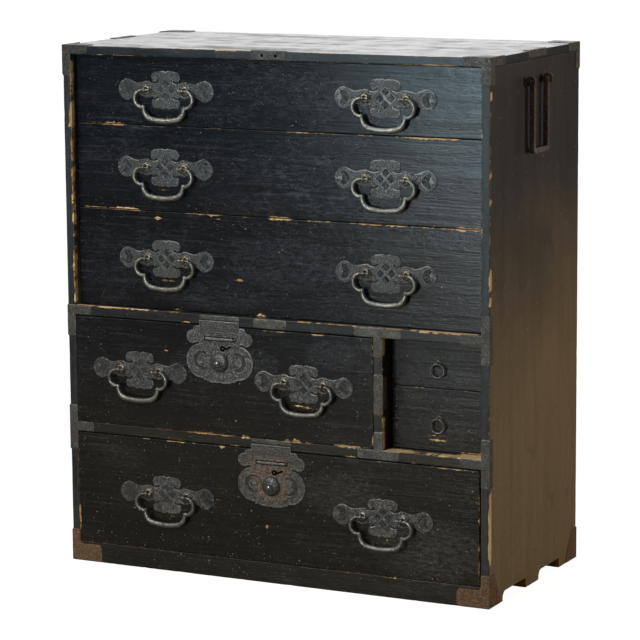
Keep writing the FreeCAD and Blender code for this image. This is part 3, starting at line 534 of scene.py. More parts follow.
def lacquer(name, grain="x", brown=0.0, low_brown=0.9, haze=1.0, specks=1.0, spec=0.5, rough=0.175, top=False, grey=0.0, calm=1.0, dusty=0.42, hazes=(), gap_shadows=(), seam_shadows=()):
    """Worn black lacquer over softwood: raised grain, scuffs, scratches, pinprick chips, and wood where "wear" says;
    also painted shadow bands at the gaps between drawers and a painted blue sheen on the upper fronts.
    """
    g = Graph(name)
    x, y, z = g.xyz
    if grain == "x":
        fine, mid, long = (9.0, 300.0, 400.0), (3.2, 60.0, 150.0), (1.6, 9.0, 26.0)
    elif grain == "y":
        fine, mid, long = (400.0, 9.0, 300.0), (150.0, 3.2, 60.0), (26.0, 1.6, 9.0)
    else:
        fine, mid, long = (300.0, 400.0, 9.0), (60.0, 150.0, 3.2), (9.0, 26.0, 1.6)
    if top:
        fine, mid, long = (9.0, 400.0, 300.0), (3.2, 150.0, 60.0), (1.6, 26.0, 9.0)
    warp = g.node("ShaderNodeVectorMath", operation="MULTIPLY_ADD")
    wn = g.node("ShaderNodeTexNoise")
    wn.inputs["Scale"].default_value = 3.2
    wn.inputs["Detail"].default_value = 2.0
    g.t.links.new(g.co, wn.inputs["Vector"])
    g.t.links.new(wn.outputs[1], warp.inputs[0])
    warp.inputs[1].default_value = (0.016, 0.016, 0.016)
    g.t.links.new(g.co, warp.inputs[2])
    w = warp.outputs[0]
    ridges = g.noise(g.scaled(*fine, bend=w), 1.0, 2.0, 0.5)
    bands = g.noise(g.scaled(*mid, bend=w), 1.0, 3.0, 0.6)
    flow = g.noise(g.scaled(*long, bend=w), 1.0, 2.0, 0.5)
    cloud = g.noise(g.co, 5.0, 4.0, 0.6)
    patch = g.noise(g.co, 24.0, 5.0, 0.66)
    mottle = g.noise(g.scaled(80.0, 120.0, 230.0), 1.0, 4.0, 0.62)
    grit = g.noise(g.co, 700.0, 2.0, 0.6)
    dust = g.noise(g.co, 360.0, 3.0, 0.75)
    # scuffs: worn streaks that follow the grain, in patches
    streak = (bands * 0.5 + ridges * 0.5).step(0.50, 0.66)
    scuff = streak * (patch * 0.55 + cloud * 0.45).step(0.46, 0.68) * haze
    rub = (cloud * 0.6 + patch * 0.4).step(0.48, 0.72) * mottle.step(0.30, 0.74) * haze
    deep = (patch * 0.6 + flow * 0.4).step(0.52, 0.36)
    # short thin scratches: some along the grain, some across it at a slant
    lines_ = None
    for turn, off in (((0.0, 0.15, 0.0), 3.0), ((0.7, 0.85, 0.6), 21.0), ((0.4, -0.7, 0.3), 40.0)):
        rot = g.node("ShaderNodeVectorRotate", rotation_type="EULER_XYZ")
        g.t.links.new(g.co, rot.inputs["Vector"])
        rot.inputs["Rotation"].default_value = turn
        n = g.noise(g.scaled(24.0, 560.0, 620.0, (off, off, off), bend=rot.outputs[0]), 1.0, 1.0, 0.4)
        one = n.step(0.755, 0.80)
        lines_ = one if lines_ is None else lines_.max(one)
    scratch = lines_ * g.noise(g.co, 11.0, 3.0, 0.6).step(0.50, 0.62) * specks
    # pinprick chips, denser low down
    flat = {"x": (1.0, 0.0, 1.0), "y": (0.0, 1.0, 1.0), "z": (1.0, 0.3, 1.0)}[grain] if not top else (1.0, 1.0, 1.0)
    low = z.step(0.52, 0.12)
    fleck = None
    for size, few, many in ((140.0, 0.975, 0.945), (220.0, 0.945, 0.905), (340.0, 0.94, 0.90)):
        vor = g.cells(g.scaled(*(size * q for q in flat)), 1.0)
        sep = g.node("ShaderNodeSeparateColor")
        g.t.links.new(vor.outputs["Color"], sep.inputs[0])
        pick = Value(g, sep.outputs[0]) + low * (few - many)
        one = (Value(g, vor.outputs["Distance"]) + (grit - 0.5) * 0.5).step(0.24, 0.12) * pick.step(few, few + 0.01) * (Value(g, sep.outputs[1]) * 0.8 + 0.2)
        fleck = one if fleck is None else fleck.max(one)
    fleck = fleck * specks
    goldy = fleck * Value(g, sep.outputs[2]).step(0.70, 0.74)
    # bare wood
    wear = g.attr("wear")
    edge = g.noise(g.co, 300.0, 3.0, 0.62) - 0.5
    broken = g.noise(g.co, 95.0, 2.0, 0.5) - 0.5
    worn_ = wear + edge * 1.10 + broken * 0.95 + (bands - 0.5) * 0.35
    bare = worn_.step(0.60, 0.69) * wear.step(0.12, 0.28)
    thin = worn_.step(0.30, 0.58) * wear.step(0.02, 0.12)
    # colours
    warm = (low * low_brown + brown).clamp()
    # painted reflection: above about 0.7 m the base and worn colours turn blue, the tint of the front light's sheen on
    # the upper drawers
    painted_sheen_top = z.step(0.68, 0.86)
    base = g.mix(warm, g.mix(painted_sheen_top, (0.0038, 0.0040, 0.0066), (0.0018, 0.0050, 0.0088)), (0.0100, 0.0072, 0.0040))
    base = g.mix((flow.step(0.40, 0.66) * 0.6), base, g.mix(warm, (0.0078, 0.0082, 0.0125), (0.0180, 0.0125, 0.0068)))
    worn = g.mix(warm, g.mix(painted_sheen_top, (0.054, 0.053, 0.064), (0.034, 0.054, 0.074)), (0.056, 0.040, 0.021))
    base = g.mix((scuff * 0.50 + rub * 0.26 + grey).clamp(), base, worn)
    base = g.mix(deep * 0.22, base, (0.0036, 0.0036, 0.0042))
    line = bands * 0.40 + ridges * 0.60
    base = g.mix(line.step(0.53, 0.66) * 0.36, base, g.mix(warm, (0.036, 0.038, 0.045), (0.040, 0.031, 0.021)))
    base = g.mix(line.step(0.46, 0.34) * 0.60, base, (0.0016, 0.0016, 0.0019))
    base = g.mix(dust.step(0.53, 0.76) * (cloud * 0.5 + patch * 0.5).step(0.34, 0.60) * dusty, base, g.mix(warm, (0.074, 0.078, 0.088), (0.070, 0.054, 0.034)))
    if hazes:
        film = None
        for cx, cz, rx, rz, k in hazes:
            u, v = (x - cx) * (1.0 / rx), (z - cz) * (1.0 / rz)
            one = (u * u + v * v + (cloud - 0.5) * 1.2 + (patch - 0.5) * 1.3).step(1.0, 0.25) * k
            film = one if film is None else film.max(one)
        base = g.mix(film * (mottle * 0.5 + dust * 0.5).step(0.36, 0.62), base, g.mix(warm, (0.072, 0.074, 0.086), (0.060, 0.048, 0.032)))
    base = g.mix(scratch * 0.55, base, (0.18, 0.182, 0.182))
    base = g.mix(fleck, base, g.mix(low, (0.19, 0.195, 0.20), (0.31, 0.27, 0.205)))
    base = g.mix(goldy, base, (0.52, 0.33, 0.13))
    wood = g.mix(ridges.step(0.38, 0.66), g.mix(worn_.step(0.70, 0.92), GOLD, (0.97, 0.74, 0.40)), (0.50, 0.24, 0.075))
    wood = g.mix(grit.step(0.52, 0.72) * 0.55, wood, (0.22, 0.115, 0.042))
    def near(lines):
        out = None
        for z0, z1 in lines:
            one = z.step(z0 - 0.0004, z0 + 0.0004) * z.step(z1 + 0.0004, z1 - 0.0004)
            out = one if out is None else out.max(one)
        return out
    # painted shadow: near-black bands at the heights of the seams and gaps between drawers and rails, where shade falls
    seam_shadow = near(seam_shadows) if seam_shadows else None
    if seam_shadows:
        base = g.mix(seam_shadow * 0.9, base, (0.0016, 0.0016, 0.0020))
    base = g.mix(thin * 0.8, base, (0.105, 0.058, 0.024))
    base = g.mix(bare, base, wood)
    gap_shadow = near(gap_shadows) if gap_shadows else None
    if gap_shadows:
        base = g.mix(gap_shadow * 0.95, base, (0.0016, 0.0016, 0.0020))
    roughness = (rough + (scuff * 0.16 + rub * 0.10 + mottle.step(0.35, 0.7) * 0.10) * calm + thin * 0.12 + scratch * 0.15 * calm).min(0.62)
    if top:
        stain = (cloud * 0.30 + patch * 0.25 + flow * 0.45).step(0.50, 0.66)
        base = g.mix(stain * (mottle * 0.6 + dust * 0.4).step(0.35, 0.62) * 0.55, base, (0.125, 0.105, 0.082))
        roughness = roughness + (stain * 0.13 + (bands * 0.5 + patch * 0.5).step(0.46, 0.60) * 0.10 + dust.step(0.5, 0.7) * 0.10)
    roughness = g_mixf(g, bare, roughness, 0.72)
    for dim_ in (seam_shadow, gap_shadow):
        if dim_ is not None:
            roughness = g_mixf(g, dim_, roughness, 0.85)
    height = ridges * 0.42 + bands * 0.16 + patch * 0.3 + mottle * 0.55 + dust * 0.35 - bare * 0.9 - fleck * 1.0 - scratch * 0.4
    n1 = g.bump(height, 0.00060 * calm, 1.0)
    n2 = g.bump(flow * 0.7 + cloud * 0.9, 0.0017 * calm, 1.0, n1)
    return g.finish(base, roughness, n2, None, spec)


def g_mixf(g, fac, a, b):
    n = g.node("ShaderNodeMix", data_type="FLOAT")
    g.put(n.inputs[0], fac)
    g.put(n.inputs[2], a)
    g.put(n.inputs[3], b)
    return Value(g, n.outputs[0])


def side_lacquer(name):
    """The sides: thin brown-black lacquer with upright grain; browner and lighter towards the floor, a painted
    reflection of the warm floor.
    """
    g = Graph(name)
    x, y, z = g.xyz
    warp = g.node("ShaderNodeVectorMath", operation="MULTIPLY_ADD")
    wn = g.node("ShaderNodeTexNoise")
    wn.inputs["Scale"].default_value = 2.6
    g.t.links.new(g.co, wn.inputs["Vector"])
    g.t.links.new(wn.outputs[1], warp.inputs[0])
    warp.inputs[1].default_value = (0.02, 0.02, 0.02)
    g.t.links.new(g.co, warp.inputs[2])
    w = warp.outputs[0]
    ridges = g.noise(g.scaled(300.0, 420.0, 6.0, bend=w), 1.0, 2.0, 0.5)
    bands = g.noise(g.scaled(40.0, 44.0, 3.4, bend=w), 1.0, 6.0, 0.66)
    broad = g.noise(g.scaled(14.0, 15.0, 1.5, bend=w), 1.0, 4.0, 0.55)
    cloud = g.noise(g.co, 5.0, 4.0, 0.6)
    patch = g.noise(g.co, 19.0, 4.0, 0.62)
    mottle = g.noise(g.co, 90.0, 4.0, 0.68)
    fleck = None
    for size in (120.0, 190.0):
        vor = g.cells(g.scaled(0.0, size, size * 0.8), 1.0)
        sep = g.node("ShaderNodeSeparateColor")
        g.t.links.new(vor.outputs["Color"], sep.inputs[0])
        one = Value(g, vor.outputs["Distance"]).step(0.20, 0.10) * Value(g, sep.outputs[0]).step(0.968, 0.978) * (Value(g, sep.outputs[1]) * 0.8 + 0.2)
        fleck = one if fleck is None else fleck.max(one)
    scr = g.noise(g.scaled(400.0, 620.0, 30.0), 1.0, 1.0, 0.4).step(0.72, 0.76) * g.noise(g.co, 8.0, 3.0, 0.6).step(0.46, 0.6)
    wear = g.attr("wear")
    edge = g.noise(g.co, 300.0, 3.0, 0.62) - 0.5
    broken = g.noise(g.co, 95.0, 2.0, 0.5) - 0.5
    worn_ = wear + edge * 1.10 + broken * 0.95 + (bands - 0.5) * 0.35
    bare = worn_.step(0.60, 0.69) * wear.step(0.12, 0.28)
    thin = worn_.step(0.30, 0.58) * wear.step(0.02, 0.12)
    front = (y * -1.0).step(0.187, 0.1895)
    # painted reflection: this mask turns the colour brown and lighter towards the floor and the back, standing in for
    # the warm floor's bounce
    down = (z + (cloud - 0.5) * 0.30 - y * 0.25).step(0.76, 0.30)
    tone = g.mix(down, (0.0125, 0.0108, 0.0100), (0.205, 0.132, 0.056))
    tone2 = g.mix(down, (0.0300, 0.0235, 0.0190), (0.275, 0.185, 0.082))
    base = g.mix((bands * 0.62 + mottle * 0.26 + ridges * 0.12).step(0.34, 0.68), tone, tone2)
    base = g.mix(broad.step(0.50, 0.68) * 0.5, base, g.mix(down, (0.034, 0.021, 0.014), (0.26, 0.155, 0.062)))
    base = g.mix(broad.step(0.45, 0.30) * 0.5, base, g.mix(down, (0.0075, 0.0070, 0.0075), (0.135, 0.094, 0.044)))
    base = g.mix(mottle.step(0.52, 0.70) * 0.25, base, g.mix(down, (0.055, 0.047, 0.040), (0.31, 0.22, 0.11)))
    base = g.mix(patch.step(0.40, 0.28) * 0.5, base, g.mix(down, (0.010, 0.009, 0.009), (0.12, 0.080, 0.036)))
    base = g.mix((scr * 0.5).clamp(), base, (0.17, 0.15, 0.12))
    base = g.mix(fleck, base, (0.42, 0.29, 0.14))
    fr = g.mix((bands * 0.6 + ridges * 0.4).step(0.42, 0.60), g.mix(z.step(0.5, 0.1), (0.0070, 0.0085, 0.0105), (0.014, 0.011, 0.0075)), g.mix(z.step(0.5, 0.1), (0.028, 0.032, 0.037), (0.052, 0.042, 0.030)))
    fr = g.mix(patch.step(0.35, 0.65) * 0.4, fr, (0.026, 0.027, 0.029))
    fr = g.mix(mottle.step(0.50, 0.66) * 0.55, fr, (0.058, 0.058, 0.058))
    base = g.mix(front, base, fr)
    wood = g.mix(ridges.step(0.38, 0.66), g.mix(worn_.step(0.70, 0.92), GOLD, (0.97, 0.74, 0.40)), (0.50, 0.24, 0.075))
    base = g.mix(thin * 0.8, base, (0.115, 0.062, 0.026))
    base = g.mix(bare, base, wood)
    raw = g.attr("raw")
    base = g.mix(raw, base, g.mix(patch.step(0.4, 0.65), (0.50, 0.21, 0.055), (0.22, 0.085, 0.024)))
    rough = (0.34 + bands * 0.12 + patch * 0.12 + raw * 0.25).min(0.8)
    rough = g_mixf(g, bare, rough, 0.72)
    n1 = g.bump(ridges * 0.2 + bands * 0.35 + patch * 0.5 + mottle * 0.8 - bare * 1.0 - fleck, 0.0006, 1.0)
    n2 = g.bump(broad + cloud * 0.6, 0.0016, 1.0, n1)
    return g.finish(base, rough, n2, None, 0.45)


def bare_wood(name, tint=(0.34, 0.215, 0.115), dark=(0.17, 0.095, 0.045), grain="x", aged=0.4):
    """Old unfinished softwood with close growth rings, knots' shadows and grime."""
    g = Graph(name)
    s = {"x": ((2.4, 250.0, 300.0), (0.9, 34.0, 40.0)), "y": ((300.0, 2.4, 250.0), (40.0, 0.9, 34.0)),
         "z": ((250.0, 300.0, 2.4), (34.0, 40.0, 0.9))}[grain]
    warp = g.node("ShaderNodeVectorMath", operation="MULTIPLY_ADD")
    wn = g.node("ShaderNodeTexNoise")
    wn.inputs["Scale"].default_value = 3.0
    g.t.links.new(g.co, wn.inputs["Vector"])
    g.t.links.new(wn.outputs[1], warp.inputs[0])
    warp.inputs[1].default_value = (0.022, 0.022, 0.022)
    g.t.links.new(g.co, warp.inputs[2])
    w = warp.outputs[0]
    rings = g.noise(g.scaled(*s[0], bend=w), 1.0, 3.0, 0.55)
    wide = g.noise(g.scaled(*s[1], bend=w), 1.0, 3.0, 0.6)
    grime = g.noise(g.co, 9.0, 5.0, 0.65)
    fine = g.noise(g.co, 420.0, 2.0, 0.6)
    base = g.mix(rings.step(0.34, 0.72) * 0.75, tint, dark)
    base = g.mix(wide.step(0.4, 0.7) * 0.45, base, tuple(c * 0.74 for c in tint))
    base = g.mix(grime.step(0.42, 0.72) * aged, base, (0.075, 0.048, 0.028))
    base = g.mix(fine.step(0.62, 0.75) * 0.25, base, (0.05, 0.03, 0.018))
    n = g.bump(rings * 0.8 + wide * 0.7 + fine * 0.25, 0.0006, 1.0)
    return g.finish(base, (0.62 + grime * 0.22).min(0.92), n, None, 0.3)


def iron(name, colour, bright, rust_amount, rough=0.5, rust=(0.10, 0.040, 0.017), metal=0.75, spec=0.5, lift=0.00035, top_left_shade=0.0):
    """Old iron: dark skin, worn brighter where "wear" says, rust in blooms, pitted and a little uneven."""
    g = Graph(name)
    cloud = g.noise(g.co, 26.0, 4.0, 0.65)
    fine = g.noise(g.co, 260.0, 4.0, 0.7)
    pits = g.noise(g.co, 430.0, 2.0, 0.6)
    ham = g.noise(g.co, 95.0, 2.0, 0.5)
    wear = g.attr("wear")
    worn = (wear + (fine - 0.5) * 0.55 + (cloud - 0.5) * 0.35).step(0.30, 0.80)
    bloom = (cloud * 0.75 + fine * 0.25 - wear * 0.25 + g.attr("rust") * 0.5).step(0.66 - 0.22 * rust_amount, 0.82 - 0.22 * rust_amount)
    base = g.mix(fine.step(0.35, 0.7), colour, tuple(c * 1.7 for c in colour))
    base = g.mix(cloud.step(0.45, 0.7) * 0.5, base, tuple(c * 0.62 for c in colour))
    blot = g.noise(g.co, 190.0, 3.0, 0.6)
    base = g.mix(blot.step(0.54, 0.40) * 0.45, base, tuple(c * 0.42 for c in colour))
    base = g.mix(worn, base, bright)
    base = g.mix(bloom * min(1.0, 0.45 + rust_amount * 0.6), base, g.mix(fine.step(0.4, 0.65), rust, tuple(c * 1.9 for c in rust)))
    base = g.mix(pits.step(0.53, 0.64) * 0.74, base, tuple(c * 0.30 for c in colour))
    base = g.mix(pits.step(0.45, 0.34) * 0.46, base, tuple(min(1.0, c * 1.5) for c in bright))
    base = g.mix(g.xyz[2].step(0.78, 0.40) * 0.30, base, (0.104, 0.074, 0.048))
    # painted shade: darkens the iron above about 0.88 m and left of about x = 0.15 m, the corner irons, bands and
    # strike plate up there
    if top_left_shade:
        base = g.mix(g.xyz[2].step(0.868, 0.880) * g.xyz[0].step(0.20, 0.10) * top_left_shade, base, tuple(c * 0.30 for c in colour))
    # the "dark" attribute paints shade: inside keyholes and slots, in a fringe along the sheets' outlines and over the
    # dimmer pulls; it also darkens low parts of the lock plates, and on the pulls' windows it stands for the black
    # lacquer behind
    hole = g.attr("dark")
    base = g.mix((hole * 1.05).clamp(), base, (0.0038, 0.0040, 0.0050))
    r = (rough + fine * 0.22 + bloom * 0.25 - worn * 0.14).clamp()
    r = g_mixf(g, hole.step(0.30, 0.70), r, 0.24)
    r = g_mixf(g, hole.step(0.955, 0.99), r, 0.95)
    m = (metal - bloom * 0.6 - hole * 0.8).clamp()
    n = g.bump(fine * 0.8 - pits.step(0.52, 0.72) * 1.0 + ham * 1.2, lift, 1.0)
    return g.finish(base, r, n, m, spec)


def hole(name):
    """Painted shade for the inside of a hole: near-black and matt."""
    g = Graph(name)
    n = g.noise(g.co, 300.0, 2.0, 0.5)
    return g.finish(g.mix(n.step(0.4, 0.6), (0.0012, 0.0012, 0.0014), (0.0035, 0.0032, 0.0030)), 0.95, None, None, 0.03)


MAT_HOLE_SHADE = hole("painted_hole_shade")
# the fronts' and rails' gap and seam bands below are painted shadows
MAT_FRONT = lacquer("lacquer_front", hazes=(
    (0.02, 0.865, 0.12, 0.035, 0.13), (-0.10, 0.815, 0.06, 0.02, 0.12), (0.05, 0.735, 0.13, 0.05, 0.15), (-0.06, 0.665, 0.10, 0.02, 0.15),
    (0.02, 0.565, 0.14, 0.055, 0.30), (-0.12, 0.50, 0.13, 0.03, 0.20), (0.30, 0.62, 0.09, 0.02, 0.20), (-0.03, 0.39, 0.05, 0.03, 0.35),
    (0.12, 0.415, 0.06, 0.03, 0.40), (0.30, 0.09, 0.14, 0.07, 1.0), (0.13, 0.17, 0.10, 0.05, 0.65), (-0.30, 0.20, 0.06, 0.03, 0.25), (0.30, 0.33, 0.10, 0.12, 0.30)),
                    gap_shadows=((0.4482, 0.4510), (0.2368, 0.2395)), seam_shadows=((0.7920, 0.7948), (0.6415, 0.6442), (0.9118, 0.9140), (0.3648, 0.3672)))
MAT_RAIL = lacquer("lacquer_rail", brown=0.25, haze=1.5, grey=0.20, rough=0.30, dusty=1.0, seam_shadows=((0.4505, 0.4522), (0.2390, 0.2407)))
MAT_TOP = lacquer("lacquer_top", top=True, haze=1.6, rough=0.33, specks=0.8, grey=0.08, calm=0.25, dusty=0.8)
MAT_STILE = lacquer("lacquer_upright", grain="z", brown=0.15, grey=0.20, rough=0.30, dusty=1.0)
MAT_SIDE = side_lacquer("lacquer_side")
MAT_WOOD = bare_wood("wood_inside")
MAT_WOOD_Z = bare_wood("wood_back", tint=(0.235, 0.160, 0.098), dark=(0.135, 0.086, 0.050), grain="z", aged=0.55)
MAT_WOOD_Y = bare_wood("wood_sides", grain="y")
MAT_SHEET = iron("iron_sheet", (0.084, 0.083, 0.083), (0.38, 0.372, 0.36), 0.42, rough=0.38, rust=(0.125, 0.098, 0.086), metal=0.45, lift=0.0008)
MAT_LOCK2 = iron("iron_sheet_red", (0.095, 0.084, 0.076), (0.32, 0.297, 0.275), 0.50, rough=0.44, rust=(0.165, 0.092, 0.060), metal=0.4, lift=0.0008)
MAT_STRAP = iron("iron_strap", (0.078, 0.071, 0.064), (0.22, 0.205, 0.185), 0.40, rough=0.46, metal=0.45, top_left_shade=0.50)
MAT_RUST = iron("iron_rusty", (0.105, 0.062, 0.032), (0.25, 0.170, 0.100), 1.2, rough=0.60, rust=(0.165, 0.078, 0.033), metal=0.30)
MAT_BAIL = iron("iron_forged", (0.125, 0.116, 0.105), (0.40, 0.378, 0.342), 0.15, rough=0.38, metal=0.95, lift=0.0003)
MAT_STUD = iron("iron_stud", (0.098, 0.080, 0.070), (0.36, 0.31, 0.26), 0.30, rough=0.32, metal=0.85, rust=(0.130, 0.082, 0.062), lift=0.0003)
MAT_CARRY = iron("iron_handle", (0.085, 0.068, 0.056), (0.26, 0.22, 0.19), 0.55, rough=0.40, metal=0.8, rust=(0.09, 0.038, 0.018))
MAT_BRIGHT = iron("iron_bright", (0.34, 0.33, 0.31), (0.72, 0.70, 0.66), 0.1, rough=0.22, metal=1.0, lift=0.00012)
MAT_DOME = iron("iron_dome", (0.105, 0.104, 0.102), (0.34, 0.335, 0.32), 0.25, rough=0.34, metal=0.85, rust=(0.16, 0.085, 0.045), lift=0.0004)
# ------------------------------------------------------------------ where the finish is worn through

def dress(name, material):
    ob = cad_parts[name]
    ob.data.materials.clear()
    ob.data.materials.append(material)
    return ob


